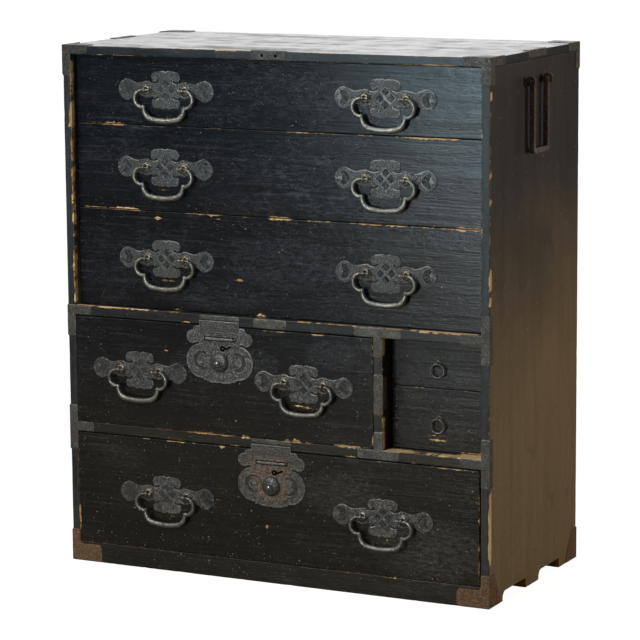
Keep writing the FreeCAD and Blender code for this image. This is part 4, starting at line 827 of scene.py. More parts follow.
# x0, x1, y0, y1, z0, z1, strength, softness in mm: the lacquer is rubbed away inside the box and thins round it
SPOTS = [
    # lower edge of the top drawer, upper edge of the second
    (-337, -293, -182, -176, 793, 797.5, 0.95, 3), (-392, -340, -182, -176, 793, 795, 0.62, 2), (-290, -100, -182, -176, 793, 794.4, 0.42, 1.5),
    (-394, -300, -182, -177, 791, 792.6, 0.60, 1.5), (-195, -175, -182, -177, 791, 792.6, 0.7, 1.5), (-130, -97, -182, -177, 791, 792.8, 0.72, 1.6),
    (18, 134, -182, -177, 790.4, 792.8, 0.56, 1.5), (24, 60, -182, -177, 789.6, 792.8, 0.8, 1.5), (150, 192, -182, -177, 790.4, 792.8, 0.78, 1.5),
    (228, 346, -182, -177, 789.6, 792.8, 0.92, 1.8), (-60, 0, -182, -177, 791.4, 792.6, 0.46, 1.2),
    # lower edge of the second drawer, upper edge of the third
    (-392, -272, -182, -176, 642.8, 645.2, 0.80, 2.0), (-330, -268, -182, -176, 642.8, 646.6, 0.95, 2.2), (-266, -180, -182, -176, 642.8, 644.6, 0.50, 1.5),
    (-180, -100, -182, -177, 639.6, 642.2, 0.72, 1.6), (-133, -108, -182, -177, 638.4, 642.2, 0.95, 1.8), (-100, -40, -182, -177, 640.4, 642.2, 0.45, 1.4),
    (-14, 33, -182, -176, 639.0, 645.0, 0.88, 2.0), (58, 112, -182, -177, 640, 642.4, 0.72, 1.6), (138, 250, -182, -177, 639.4, 642.4, 0.88, 1.8),
    (250, 340, -182, -177, 640, 642.4, 0.70, 1.6), (338, 391, -182, -176, 638.6, 646.2, 0.95, 2.2),
    (-238, -224, -182, -178, 628, 632.5, 0.9, 2.5), (-114, -104, -182, -178, 634, 637, 0.8, 2.0), (212, 222, -182, -178, 629, 631, 0.5, 3),
    # third drawer
    (-76, -63, -182, -178, 528, 532, 0.85, 2.6), (-38, -20, -182, -176, 470, 479, 0.82, 3.0), (-200, -188, -182, -177, 470, 472.6, 0.8, 2.0),
    # upper edge of the upper rail
    (-394, -238, -199, -191, 466.4, 469, 0.98, 2.2), (-238, -180, -199, -192, 467.2, 469, 0.62, 2.0), (-180, -60, -199, -193, 467.6, 469, 0.40, 1.6),
    (-60, 44, -199, -193, 467.6, 469, 0.44, 1.6), (48, 98, -199, -191, 466.2, 469, 0.95, 2.0), (98, 258, -199, -192, 467.0, 469, 0.72, 1.8),
    (262, 393, -199, -189, 465.6, 469, 1.0, 2.4), (-394, -240, -199, -193, 464.6, 466.4, 0.52, 1.6),
    # upper rail's lower edge and the middle drawer's edges
    (-178, -158, -199, -195, 451, 454.0, 0.75, 2.0), (-310, -290, -199, -195, 446, 449.8, 0.5, 2), (-180, -165, -199, -195, 446.5, 449.8, 0.6, 1.6),
    (-22, 32, -199, -194, 446.2, 450, 0.80, 2.0), (74, 107, -199, -194, 445.6, 450, 0.95, 2.0), (108, 193, -199, -195, 448.0, 450, 0.50, 1.6),
    (190.6, 194, -199, -195, 428, 440, 0.75, 1.5), (190.6, 194, -199, -195, 384, 428, 0.45, 1.5), (190.6, 194, -199, -195, 262, 284, 0.70, 2.0),
    (326, 350, -199, -195, 451, 453.2, 0.75, 2.0),
    # lower rail's upper edge
    (-392, -228, -199, -194, 255.4, 257.2, 0.44, 1.6), (-230, -200, -199, -194, 254.6, 257.2, 0.78, 1.6), (-172, -72, -199, -194, 254.6, 257.2, 0.90, 1.8),
    (-60, -44, -199, -192, 256.2, 263.5, 1.0, 2.6), (24, 56, -199, -195, 257, 263, 0.92, 2.2), (60, 74, -199, -195, 257, 260, 0.6, 2), (122, 168, -199, -192, 253.4, 258.4, 0.98, 2.2),
    (166, 192, -199, -194, 254.6, 258.8, 0.50, 2.2),
    (213, 395, -199, -180, 255.4, 257.4, 0.98, 3.0), (345, 395, -199, -166, 254.6, 257.6, 1.0, 3.0), (213, 260, -199, -170, 255.6, 257.4, 0.7, 4.0),
    # lower rail's lower edge and the bottom drawer's edges
    (-87, -62, -199, -195, 239.3, 242.0, 0.90, 2.0), (138, 166, -199, -194, 239.3, 242.6, 0.95, 2.0), (262, 276, -199, -195, 239.3, 241.8, 0.70, 2.0),
    (-392, -290, -199, -195, 236.4, 238.6, 0.46, 1.6), (-292, -215, -199, -194, 236.0, 238.6, 0.80, 1.8), (-215, -168, -199, -194, 235.0, 238.6, 0.98, 2.0),
    (-168, -106, -199, -195, 236.2, 238.6, 0.62, 1.6), (-106, -95, -199, -193, 231.0, 238.6, 1.0, 2.2), (196, 240, -199, -195, 235.4, 238.6, 0.72, 1.8),
    (286, 391, -199, -194, 235.2, 238.6, 0.90, 1.8), (60, 110, -199, -195, 236.6, 238.6, 0.45, 1.6),
    (388.6, 391.2, -199, -194, 143, 202, 0.66, 1.6), (388.6, 391.2, -199, -194, 148, 156, 0.95, 1.6), (388.4, 391.2, -199, -194, 58, 82, 0.78, 1.6),
    (388.6, 391.2, -199, -194, 36, 56, 0.55, 1.6), (388.6, 391.2, -199, -194, 210, 238, 0.45, 1.6), (388.6, 391.2, -199, -194, 98, 108, 0.7, 1.6),
    (-393, -391, -199, -194, 58, 104, 0.80, 1.6), (-393, -391, -199, -194, 104, 236, 0.40, 1.6), (-392, -195, -199, -195, 37, 39.0, 0.46, 1.5),
    (118, 391, -199, -195, 37, 39.0, 0.48, 1.5), (-392, -195, -199, -195, 34.8, 36.8, 0.50, 1.5), (118, 391, -199, -195, 34.8, 36.8, 0.46, 1.5),
    (92, 98, -199, -195, 0, 5, 0.7, 2.0),
    # lacquer chips on the bottom and middle drawers
    (-214, -206, -199, -196, 397, 401, 0.75, 1.6), (-16, -10, -199, -196, 98, 104, 0.6, 2), (298, 306, -199, -196, 68, 71, 0.75, 2), (-52, -46, -199, -196, 82, 86, 0.6, 2),
    (112, 122, -199, -196, 66, 68, 0.5, 2), (-112, -104, -199, -196, 138, 142, 0.6, 2), (316, 322, -199, -196, 180, 183, 0.6, 2), (22, 28, -199, -196, 104, 112, 0.5, 2),
    # where the bails swing against the fronts
    (-230, -198, -182, -178, 519, 522, 0.62, 2.2), (-233, -200, -182, -178, 679, 682, 0.42, 2.2), (43, 60, -199, -196, 319, 322.5, 0.80, 2.2), (60, 79, -199, -196, 317.6, 321, 0.74, 2.4), (-282, -240, -199, -196, 316, 318, 0.35, 2.2),
    (216, 224, -199, -196, 99, 103, 0.62, 2), (-232, -192, -199, -196, 99, 102, 0.36, 2.2), (196, 226, -182, -178, 518, 520, 0.3, 2), (194, 228, -182, -178, 678, 681, 0.3, 2),
    # small drawers
    (284, 317, -167, -163, 273.8, 278.8, 1.0, 1.8), (289, 306, -167, -163, 282.0, 286.0, 1.0, 1.8), (204, 222, -167, -162, 362, 368.6, 0.85, 2.4),
    (388, 392.6, -167, -161, 338, 366, 0.85, 2.0), (388, 392.6, -167, -161, 300, 338, 0.48, 2.0), (290, 308, -167, -163, 322, 324.2, 0.5, 3.0), (288, 312, -167, -163, 313, 320, 0.34, 4.0),
    (292, 312, -167, -163, 416, 424, 0.33, 4.0), (222, 392, -167, -162, 364.2, 365.6, 0.5, 1.5), (340, 392, -167, -162, 258, 260.5, 0.75, 3), (262, 276, -167, -162, 368, 376, 0.3, 5),
    (240, 250, -167, -163, 318, 325, 0.33, 4), (340, 350, -167, -163, 366, 367.6, 0.6, 2),
    # uprights at the left
    (-396.5, -393, -199, -190, 470, 912, 0.62, 2.2), (-402, -393, -199, -188, 784, 802, 1.0, 3.0), (-399.5, -393, -199, -190, 794, 830, 0.95, 2.5), (-409.5, -407, -199, -190, 800, 824, 0.7, 2.0),
    (-400, -393, -199, -188, 612, 630, 0.95, 2.6), (-399, -393, -199, -188, 470, 500, 0.92, 2.8), (-397, -393, -199, -185, 868, 906, 0.9, 2.0), (-398, -393, -199, -190, 520, 560, 0.75, 2.2),
    (-397, -393, -199, -192, 640, 780, 0.72, 2.0), (-397, -393, -199, -194, 82, 106, 0.85, 2.0), (-397, -393, -199, -194, 120, 200, 0.42, 2.0), (-405, -396, -199, -194, 418, 438, 0.4, 3.5),
    (-409.5, -407.5, -199, -190, 470, 900, 0.55, 2.0), (-409.5, -407.5, -199, -190, 60, 400, 0.42, 2.0),
    # uprights at the right
    (393, 398, -199, -190, 790, 815, 0.95, 2.2), (393, 396, -199, -192, 628, 652, 0.72, 2.0), (393, 396, -199, -192, 655, 740, 0.50, 1.6), (393, 396, -199, -192, 500, 620, 0.50, 1.6),
    (407.4, 409.5, -199, -190, 854, 874, 0.98, 1.8), (407.0, 409.5, -199, -190, 542, 576, 1.0, 2.0), (407.0, 409.5, -199, -190, 512, 536, 1.0, 2.0), (406.4, 409.5, -199, -188, 78, 205, 1.0, 2.2),
    (407.8, 409.5, -199, -192, 650, 790, 0.60, 1.6), (407.8, 409.5, -199, -192, 576, 650, 0.50, 1.6), (407.8, 409.5, -199, -192, 292, 416, 0.55, 1.6), (407.8, 409.5, -199, -192, 800, 850, 0.50, 1.6),
    (406.5, 409.5, -199, -190, 684, 700, 0.9, 2.0), (406.5, 409.5, -199, -190, 728, 740, 0.85, 2.0),
    # post
    (208.6, 212, -199, -186, 424, 450, 0.95, 2.4), (208.6, 212, -199, -186, 258, 316, 0.92, 2.4), (209.6, 212, -199, -190, 388, 424, 0.50, 2.0), (194, 196, -199, -194, 292, 416, 0.50, 1.8),
    # top board
    (-113, -58, -199, -190, 927, 931, 0.88, 3.0), (-345, -228, -199, -194, 914, 916, 0.70, 1.5), (238, 356, -199, -193, 914, 916.6, 0.92, 1.8), (148, 162, -199, -192, 926.6, 931, 0.8, 2.2),
    (60, 118, -199, -194, 928, 931, 0.46, 2.0), (182, 340, -199, -194, 928.4, 931, 0.42, 2.0), (-290, -180, -199, -194, 928.4, 931, 0.44, 2.0), (-190, -112, -199, -195, 929.2, 931, 0.62, 1.8), (-70, -40, -199, -196, 929.4, 931, 0.6, 1.6), (-40, 140, -199, -194, 914, 915.6, 0.42, 1.4),
]
EDGES_Z = (794.1, 792.4, 643.6, 641.9, 469.3, 468.5, 451.0, 448.9, 257.0, 257.8, 239.5, 237.4, 37.3, 36.5, 930.0, 914.5, 365.2, 366.4)
EDGES_X = (-393.5, 393.5, -409.0, 409.0, 211.5, 194.5, 193.3, 390.9, -392.6, 392.0)


def spotted(p):
    """The worn places' strength at each point: ragged patches that grow from a board's edge and come and go along it."""
    out = np.zeros(len(p))
    lo, hi = p.min(0) - 6, p.max(0) + 6
    for i, (x0, x1, y0, y1, z0, z1, k, w) in enumerate(SPOTS):
        a, b = np.array([x0, y0, z0], float), np.array([x1, y1, z1], float)
        if (a > hi).any() or (b < lo).any():
            continue
        near = np.nonzero(((p > a - 6) & (p < b + 6)).all(1))[0]
        if not len(near):
            continue
        q = p[near]
        along, across = (0, 2) if b[0] - a[0] >= b[2] - a[2] else (2, 0)
        edges = EDGES_Z if across == 2 else EDGES_X
        at_a = min(abs(a[across] - e) for e in edges) < 1.3
        at_b = min(abs(b[across] - e) for e in edges) < 1.3
        thick = (b - a)[across]
        if at_a != at_b:
            t = q[:, across] - a[across] if at_a else b[across] - q[:, across]
            full = thick * 0.85
        else:
            t = np.abs(q[:, across] - (a[across] + b[across]) / 2)
            full = thick * 0.55
        line = np.column_stack([q[:, along], np.full(len(q), 13.0 * i), 0.3 * q[:, across]])
        wander = fnoise(line, (12.0, 9.0, 9.0), 300 + i, 3)
        small = fnoise(line, (4.0, 9.0, 4.0), 500 + i, 2)
        grow = np.clip(2.4 * (wander - 0.5) + 1.4 * (small - 0.5) + 0.80, 0.0, 1.3)
        length = (b - a)[along]
        end = np.minimum(q[:, along] - a[along], b[along] - q[:, along])
        reach = full * grow * np.sqrt(smooth(end, -0.8, min(0.35 * length, 9.0)))
        v = k * smooth(reach - np.maximum(t, 0), -0.35 * w, 0.30 * w)
        dy = np.maximum(np.maximum(a[1] - q[:, 1], q[:, 1] - b[1]), 0)
        v = v * np.exp(-(dy / (0.55 * w)) ** 2) * np.exp(-(np.maximum(-t, 0) / w) ** 2)
        out[near] = np.maximum(out[near], v)
    return out


def edge_rub(p, d, seed, strength=0.55, width=1.1, scale=30.0, bias=0.5):
    """Light, broken wear along every edge."""
    n = fnoise(p, (scale, scale, scale), seed, 3)
    m = fnoise(p, (6.0, 6.0, 6.0), seed + 3, 2)
    along = np.clip((n - bias) * 3.2 + (m - 0.5) * 0.9, 0, 1)
    return strength * along * np.exp(-(d / width) ** 1.6)


def pocket(v, f, w, plane_z, x0, x1, y0, y1, depth):
    """Sinks a mortise into the level face at plane_z; a positive depth goes down, a negative one up."""
    face = np.array(f)
    mid = v[face].mean(1)
    level = (np.abs(v[face][:, :, 2] - plane_z) < 1e-4).all(1)
    gone = level & (mid[:, 0] > x0) & (mid[:, 0] < x1) & (mid[:, 1] > y0) & (mid[:, 1] < y1)
    if not gone.any():
        raise RuntimeError("the mortise cuts nothing")
    cut = face[gone]
    used = sorted(set(cut.ravel().tolist()))
    low = {a: len(v) + i for i, a in enumerate(used)}
    floor = v[used] - [0, 0, depth]
    out = [list(q) for q in face[~gone]]
    rim = set((int(q[i]), int(q[(i + 1) % 4])) for q in cut for i in range(4))
    out += [[a, b, low[b], low[a]] for a, b in rim if (b, a) not in rim]
    out += [[low[int(a)] for a in q] for q in cut]
    return np.concatenate([v, floor]), out, np.concatenate([w, np.zeros(len(used))])


def board(soup, lo, hi, step=8.0, seed=1, rub=0.55, radius=0.8, jag=0.8, extra=((), (), ()), warp=None, chips=True, raw=None, bias=0.5, edge=(0.0, 0.35, 0.8, 1.5, 2.6, 4.4, 7.0), mortise=None):
    """One lacquered board, its finish worn at the edges and at the spots."""
    step = step if isinstance(step, (tuple, list)) else (step,) * 3
    extra = [list(e) for e in extra]
    for sp in SPOTS:
        if abs(sp[2] - lo[1]) > 3.5 or sp[0] < lo[0] or sp[1] > hi[0] or sp[4] < lo[2] + 5 or sp[5] > hi[2] - 5 or sp[5] - sp[4] > 12:
            continue
        extra[2] += [sp[4] - 0.8, sp[4] + 0.2, (sp[4] + sp[5]) / 2, sp[5] - 0.2, sp[5] + 0.8]
        extra[0] += [sp[0] - 0.7, sp[0] + 0.8, sp[1] - 0.8, sp[1] + 0.7]
    if mortise:
        extra[0] += [mortise[1], mortise[2]]
        extra[1] += [mortise[3], mortise[4]]
    g = [lines(lo[k], hi[k], step[k], edge=edge, extra=extra[k]) for k in range(3)]
    bite = (lambda p: 0.9 * smooth(spotted(p), 0.5, 1.0)) if chips else None
    v, f, d = slab(lo, hi, *g, radius=radius, wear=bite, seed=seed, jag=jag)
    w = np.maximum(spotted(v), edge_rub(v, d, seed + 31, rub, bias=bias))
    if mortise:
        v, f, w = pocket(v, f, w, *mortise)
    # a board is never quite flat
    if warp is not None:
        v = warp(v)
    soup.add(v, f, wear=w, **({"raw": raw(v)} if raw else {}))
    return soup


# ------------------------------------------------------------------ the case's wood

NOTCHES = ((-138.0, -36.0), (22.0, 117.0))


def notch(y):
    """The height of the side board's lower edge: two notches, arched behind one foot and square at the next."""
    h = np.zeros_like(y)
    for a, b in NOTCHES:
        t = np.clip(a + 13.0 - y, 0, 13.0)
        arch = 4.0 + np.sqrt(np.maximum(169.0 - t * t, 0))
        h = np.where((y >= a) & (y <= b), arch, h)
    return h


def side_board(name, x0, x1, seed):
    ys = []
    for a, b in NOTCHES:
        ys += [a - 0.25, a, a + 0.25, a + 1, a + 2.2, a + 4, a + 6, a + 8.5, a + 11, a + 13, b - 0.25, b, b + 0.25]
    out = 1 if x0 > 0 else -1
    face = x1 if out > 0 else x0

    def warp(v):
        v = v.copy()
        h = notch(v[:, 1])
        low = v[:, 2] < 60
        v[low, 2] = h[low] + v[low, 2] * (60.0 - h[low]) / 60.0
        # ends of the raised grain and the joint between two boards
        on = np.abs(v[:, 0] - face) < 0.6
        if out > 0:
            crack = np.exp(-((v[:, 1] + 101.0 + 2.0 * np.sin(v[:, 2] / 90.0)) / 0.5) ** 2) * smooth(v[:, 2], 640, 420) * (0.5 + 0.5 * fnoise(v, 60.0, 9))
            v[on, 0] -= out * 0.7 * crack[on]
        v[on, 0] -= out * 0.35 * fnoise(v, (40.0, 14.0, 260.0), seed, 3)[on]
        return v

    def raw(v):
        h = v[:, 2] < 17.3
        k = np.zeros(len(v))
        for a, b in NOTCHES:
            k = np.where(h & (np.abs(v[:, 1] - b) < 0.6), 1.0, k)
        k = np.where((v[:, 2] < 1.5) & (notch(v[:, 1]) < 1), 0.8, k)
        return k

    s = Soup()
    board(s, (x0, -197, 0), (x1, 197, 914.5), (6.0, 7.0, 9.0), seed, 0.75, 1.0, 0.9,
          extra=((), ys + [-104.0, -103.0, -102.2, -101.6, -101.0, -100.4, -99.8, -99.0, -98.0], (12.0, 17.0, 22.0, 30.0, 60.0)), warp=warp, raw=raw, bias=0.46)
    s.make(name, MAT_SIDE, "case", replaces=(name,), slot="lacquer_side")


side_board("side_panel_left", -409.0, -393.5, 3)
side_board("side_panel_right", 393.5, 409.0, 5)

s = Soup()


def top_warp(v):
    v = v.copy()
    on = np.abs(v[:, 2] - 930.0) < 0.6
    v[on, 2] -= 0.40 * fnoise(v, (300.0, 46.0, 50.0), 8, 3)[on] + 0.10 * fnoise(v, (90.0, 12.0, 50.0), 18, 2)[on]
    return v


board(s, (-409, -197, 914.5), (409, 197, 930.0), (7.0, 6.0, 6.0), 21, 0.85, 1.1, 1.2, warp=top_warp, bias=0.40)
s.make("top_board", MAT_TOP, "case", replaces=("top_panel",), slot="lacquer_top")

for k, (name, z0, seed) in enumerate((("rail_upper", 451.0, 41), ("rail_lower", 239.5, 43))):
    s = Soup()
    lx = (-102.0, -2.7)[k]
    board(s, (-393.5, -197, z0), (393.5, -150, z0 + 17.5), (5.0, 6.0, 5.0), seed, 0.7, 0.9, 1.3, bias=0.45,
          mortise=(z0, lx - 10.6, lx + 10.6, -185.0, -179.8, -8.0))
    s.make(name, MAT_RAIL, "case", replaces=(name,), slot="lacquer_case")
s = Soup()
board(s, (-393.5, -197, 0), (393.5, -175, 36.5), (6.0, 6.0, 6.0), 47, 0.6, 0.9, 1.2, bias=0.5)
s.make("base_rail", MAT_RAIL, "case", replaces=("base_rail",), slot="lacquer_case")
s = Soup()
board(s, (194.5, -197, 257.0), (211.5, -150, 451.0), (5.0, 6.0, 6.0), 53, 0.7, 0.8, 1.0, bias=0.45)
board(s, (199.5, -150, 257.0), (211.5, 185, 458.5), (6.0, 18.0, 18.0), 55, 0.3, 0.6, 0.2)
s.make("post", MAT_STILE, "case", replaces=("divider",), slot="lacquer_case")


def plain(soup, lo, hi, seed=1, step=28.0, radius=0.7, cup=0.0, axis=2):
    g = [lines(lo[k], hi[k], step, edge=(0.0, 0.4, 1.2, 3.5)) for k in range(3)]
    v, f, d = slab(lo, hi, *g, radius=radius, seed=seed, jag=0.6)
    soup.add(v, f)


s = Soup()
for k in range(4):
    w = (393.5 * 2) / 4
    a, b = -393.5 + k * w + (0.35 if k else 0), -393.5 + (k + 1) * w - (0.35 if k < 3 else 0)
    plain(s, (a, 185, 20), (b, 196.6 - 0.3 * (k % 2), 914.5), 61 + k, 24.0, 0.9)
s.make("back_boards", MAT_WOOD_Z, "case", replaces=("back_panel",), slot="bare_wood")
s = Soup()
for k in range(5):
    for x in (-389, -300, -205, -190, -100, -8, 8, 100, 190, 205, 300, 389):
        z = (40, 245, 460, 675, 900)[k] + 2.5 * math.sin(x * 0.7 + k)
        nail(s, (x + 1.5 * math.sin(k * 2.1 + x), 196.3, z), BACK_AXES, 2.1, 0.7, k, 0.25)
s.make("back_nails", MAT_RUST, "case", slot="rusty_iron")
s = Soup()
plain(s, (-393.5, -175, 24.5), (393.5, 185, 36.5), 71)
s.make("bottom_board", MAT_WOOD, "case", replaces=("bottom_panel",), slot="bare_wood")
s = Soup()
for a, b in ((-175, -138), (-36, 22), (117, 185)):
    plain(s, (-393.5, a, 0), (393.5, b, 24.5), 73 + int(a), 20.0, 1.2)
s.make("bearers", MAT_WOOD, "case", replaces=("foot_bearers",), slot="bare_wood")
s = Soup()
for lo, hi in (((-393.5, -159, 789.5), (393.5, 185, 796.5)), ((-393.5, -159, 639), (393.5, 185, 646)), ((-393.5, -150, 458.5), (393.5, 185, 468.5)),
               ((-393.5, -150, 247), (393.5, 185, 257)), ((211.5, -148.2, 362.3), (393.5, 185, 369.3))):
    plain(s, lo, hi, int(lo[2]) % 97)
s.make("dust_shelves", MAT_WOOD, "case", replaces=("dust_boards",), slot="bare_wood")
# ------------------------------------------------------------------ drawers

DRAWERS = {
    # front: x0, x1, face, z0, z1, thickness; box: z0, z1
    "drawer_top": (-392.0, 392.0, -180.0, 794.1, 913.0, 20.0, 797.3, 907.5),
    "drawer_second": (-392.0, 392.0, -180.0, 643.6, 792.4, 20.0, 646.8, 785.0),
    "drawer_third": (-392.0, 392.0, -180.0, 469.3, 641.9, 20.0, 469.3, 634.5),
    "drawer_middle": (-392.6, 193.3, -197.4, 257.8, 448.9, 20.0, 257.8, 446.0),
    "drawer_bottom": (-392.6, 390.9, -197.4, 37.3, 237.4, 20.0, 37.3, 234.5),
    "small_drawer_upper": (213.9, 392.0, -165.0, 366.4, 448.9, 16.0, 370.1, 446.0),
    "small_drawer_lower": (213.9, 392.0, -165.0, 257.8, 365.2, 16.0, 257.8, 357.8),
}

for k, (name, (x0, x1, face, z0, z1, thick, bz0, bz1)) in enumerate(DRAWERS.items()):
    small = name.startswith("small")
    s = Soup()

    def wave(v, face=face, k=k):
        v = v.copy()
        on = np.abs(v[:, 1] - face) < 0.5
        v[on, 1] += 0.40 * fnoise(v, (420.0, 50.0, 70.0), 80 + k, 3)[on] + 0.10 * fnoise(v, (120.0, 20.0, 9.0), 90 + k, 2)[on]
        return v

    lx = {"drawer_middle": -102.0, "drawer_bottom": -2.7}.get(name)
    board(s, (x0, face, z0), (x1, face + thick, z1), (4.0, 7.0, 3.6), 81 + k, 0.62, 0.75, 1.0, warp=wave, bias=0.47,
          mortise=(z1, lx - 10.4, lx + 10.4, face + 12.6, face + 17.4, 32.0) if lx is not None else None)
    s.make(name + "_board", MAT_FRONT, name, replaces=(name + "_front",), slot="lacquer_front")
    # the box behind: two sides, a back and a floor
    side = 8.0 if small else 10.0
    inset = 0.8 if small else 1.0
    a, b, y0, y1 = x0 + inset, x1 - inset, face + thick, 178.0
    s = Soup()
    plain(s, (a, y0, bz0), (a + side, y1, bz1), 100 + k, 24.0)
    plain(s, (b - side, y0, bz0), (b, y1, bz1), 110 + k, 24.0)
    plain(s, (a + side, y1 - side, bz0 + 6), (b - side, y1, bz1 - 0.4), 120 + k, 24.0)
    plain(s, (a + side, y0, bz0), (b - side, y1, bz0 + 6), 130 + k, 30.0)
    s.make(name + "_case", MAT_WOOD_Y, name, replaces=(name + "_box",), slot="bare_wood")
    s = Soup()
    for x, axes, at in ((a, LEFT_AXES, -1), (b, RIGHT_AXES, 1)):
        for z in np.linspace(bz0 + 14, bz1 - 14, 3 if small else 4):
            for y in (y0 + 5, y1 - 5):
                nail(s, (x - 0.3 * at, y, z + 1.3 * math.sin(y + z)), axes, 1.7, 0.55, k, 0.2)
    s.make(name + "_nails", MAT_RUST, name, slot="rusty_iron")

# ------------------------------------------------------------------ pulls

def disc(x, z, cx, cz, r):
    return np.hypot(x - cx, z - cz) - r


def bar(x, z, x0, z0, x1, z1, r):
    dx, dz = x1 - x0, z1 - z0
    t = np.clip(((x - x0) * dx + (z - z0) * dz) / (dx * dx + dz * dz), 0, 1)
    return np.hypot(x - x0 - t * dx, z - z0 - t * dz) - r


def blend_min(a, b, k):
    h = np.clip(0.5 + 0.5 * (b - a) / k, 0, 1)
    return b * (1 - h) + a * h - k * h * (1 - h)


def arc(x, z, cx, cz, r, w, a0, a1):
    """A thick arc from angle a0 to a1 in degrees, counterclockwise, with round ends."""
    q0, q1 = math.radians(a0), math.radians(a1)
    t = np.arctan2(z - cz, x - cx)
    mid, half = (q0 + q1) / 2, (q1 - q0) / 2
    off = (t - mid + math.pi) % (2 * math.pi) - math.pi
    on = np.abs(off) <= half
    ring = np.abs(np.hypot(x - cx, z - cz) - r)
    ends = np.minimum(np.hypot(x - cx - r * math.cos(q0), z - cz - r * math.sin(q0)), np.hypot(x - cx - r * math.cos(q1), z - cz - r * math.sin(q1)))
    return np.where(on, ring, ends) - w


def polygon(x, z, pts):
    """Signed distance to a closed outline, negative inside."""
    pts = np.asarray(pts, float)
    best = np.full(x.shape, 1e9)
    sign = np.ones(x.shape)
    for (ax, az), (bx, bz) in zip(pts, np.roll(pts, -1, axis=0)):
        ex, ez = bx - ax, bz - az
        wx, wz = x - ax, z - az
        t = np.clip((wx * ex + wz * ez) / max(ex * ex + ez * ez, 1e-9), 0, 1)
        best = np.minimum(best, (wx - ex * t) ** 2 + (wz - ez * t) ** 2)
        c1, c2, c3 = z >= az, z < bz, ex * wz > ez * wx
        flip = (c1 & c2 & c3) | (~c1 & ~c2 & ~c3)
        sign = np.where(flip, -sign, sign)
    return sign * np.sqrt(best)


def rounded_line(pts, turns=2):
    """Corner cutting: a closed outline with soft corners."""
    p = np.asarray(pts, float)
    for _ in range(turns):
        q = np.roll(p, -1, axis=0)
        p = np.stack([0.75 * p + 0.25 * q, 0.25 * p + 0.75 * q], 1).reshape(-1, 2)
    return p


WING = rounded_line([(18, 12), (30, 14.6), (38.3, 15.6), (47, 13.4), (55.5, 11.6), (63, 13.4), (71, 17.4), (78.5, 19.2), (87, 15.2), (94.6, 6.2), (95.8, -3.4),
                     (90.4, -13.2), (79.6, -20.2), (70, -17.8), (62.5, -12.6), (55, -10.2), (46, -12.4), (38.3, -15.4), (30, -13.0), (18, -10)], 2)
LOZENGES = ((0.2, 11.2), (10.8, 0.7), (-10.2, 0.1), (0.0, -10.8))
MOON = rounded_line([(63.4, -0.6), (68.4, 6.2), (72.6, 11.4), (77.4, 13.0), (81.6, 11.0), (83.0, 7.2), (79.8, 4.6), (78.4, -0.6), (79.6, -5.6), (83.2, -7.8), (81.8, -11.4), (77.4, -13.4), (72.6, -12.0), (68.2, -7.4)], 2)


def pull_outline(x, z):
    u = np.abs(x)
    d = polygon(u, z, WING)
    d = np.minimum(d, np.maximum(u - 26, np.abs(z + 0.5) - 17.0))
    crown = np.minimum(disc(u, z, 18.8, 22.2, 10.0), disc(u, z, 6.2, 23.0, 10.8))
    crown = np.minimum(crown, disc(u, z, 13.0, 23.2, 10.0))
    lobe = np.minimum(disc(u, z, 18.6, -22.8, 9.6), disc(u, z, 6.6, -22.6, 11.0))
    lobe = np.minimum(lobe, disc(u, z, 12.6, -22.6, 9.6))
    d = np.minimum(d, np.minimum(crown, lobe))
    # curled notches between crown, necks and lower lobe
    up = np.minimum(bar(u, z, 36.0, 18.4, 28.0, 13.8, 1.5), bar(u, z, 28.0, 13.8, 20.5, 12.4, 1.0))
    up = np.minimum(up, np.minimum(bar(u, z, 20.5, 12.4, 16.6, 14.2, 0.9), disc(u, z, 16.2, 14.8, 1.7)))
    down = np.minimum(bar(u, z, 36.0, -19.6, 28.0, -15.2, 1.5), bar(u, z, 28.0, -15.2, 20.5, -15.6, 1.0))
    down = np.minimum(down, np.minimum(bar(u, z, 20.5, -15.6, 16.8, -13.6, 0.9), disc(u, z, 16.4, -13.4, 1.6)))
    d = np.maximum(d, -np.minimum(up, down))
    return d


def windows(x, z):
    """The four lozenges at the middle and the crescent in each wing, sunk almost through the sheet."""
    d = polygon(np.abs(x) - 2.2, z, MOON)
    for cx, cz in LOZENGES:
        d = np.minimum(d, (np.abs(x - cx) + np.abs(z - cz) - 7.7) / 1.414)
    return d


def pull_height(x, z, d, seed):
    u = np.abs(x)
    h = 0.50 + 0.62 * smooth(d, 0.0, 1.0)
    h = h + 0.26 * np.exp(-((d - 1.3) / 0.7) ** 2) * (0.3 + 0.7 * smooth(u, 10, 30))                       # raised rim
    h = h - 0.26 * np.exp(-((d - 2.9) / 0.6) ** 2) * ((u > 56) | (np.abs(z) > 18.0)) * (np.hypot(u - 75.5, z) > 15.5)
    # a raised rib along one diagonal of the windows, a faint one along the other
    one = np.abs(x * 0.72 + (z + 0.3) * 0.69)
    two = np.abs(x * 0.72 - (z + 0.3) * 0.69)
    h = h + (0.30 * np.exp(-(one / 0.8) ** 2) + 0.06 * np.exp(-(two / 0.8) ** 2)) * smooth(np.abs(x * 0.69 - (z + 0.3) * 0.72), 12.5, 10.0) * (u < 14)
    # the tongue of the crescent is domed
    h = h + 0.36 * smooth(-disc(u, z, 85.8, -0.6, 4.6), -0.6, 2.6)
    sunk = smooth(-windows(x, z), -0.25, 0.45)
    h = h * (1 - sunk) + 0.26 * sunk
    # necks: a shallow dished seat under each rosette
    r = np.hypot(u - 38.3, z)
    h = h + 0.22 * np.exp(-((r - 12.6) / 0.9) ** 2) - 0.15 * np.exp(-((r - 14.2) / 0.7) ** 2)
    p = np.column_stack([x, z, np.full_like(x, seed * 13.0)])
    h = h + 0.16 * (fnoise(p, (5.0, 5.0, 5.0), seed, 3) - 0.5) + 0.34 * (fnoise(p, (30.0, 30.0, 5.0), seed + 3, 2) - 0.5)
    return np.clip(h, 0.12, 1.4)


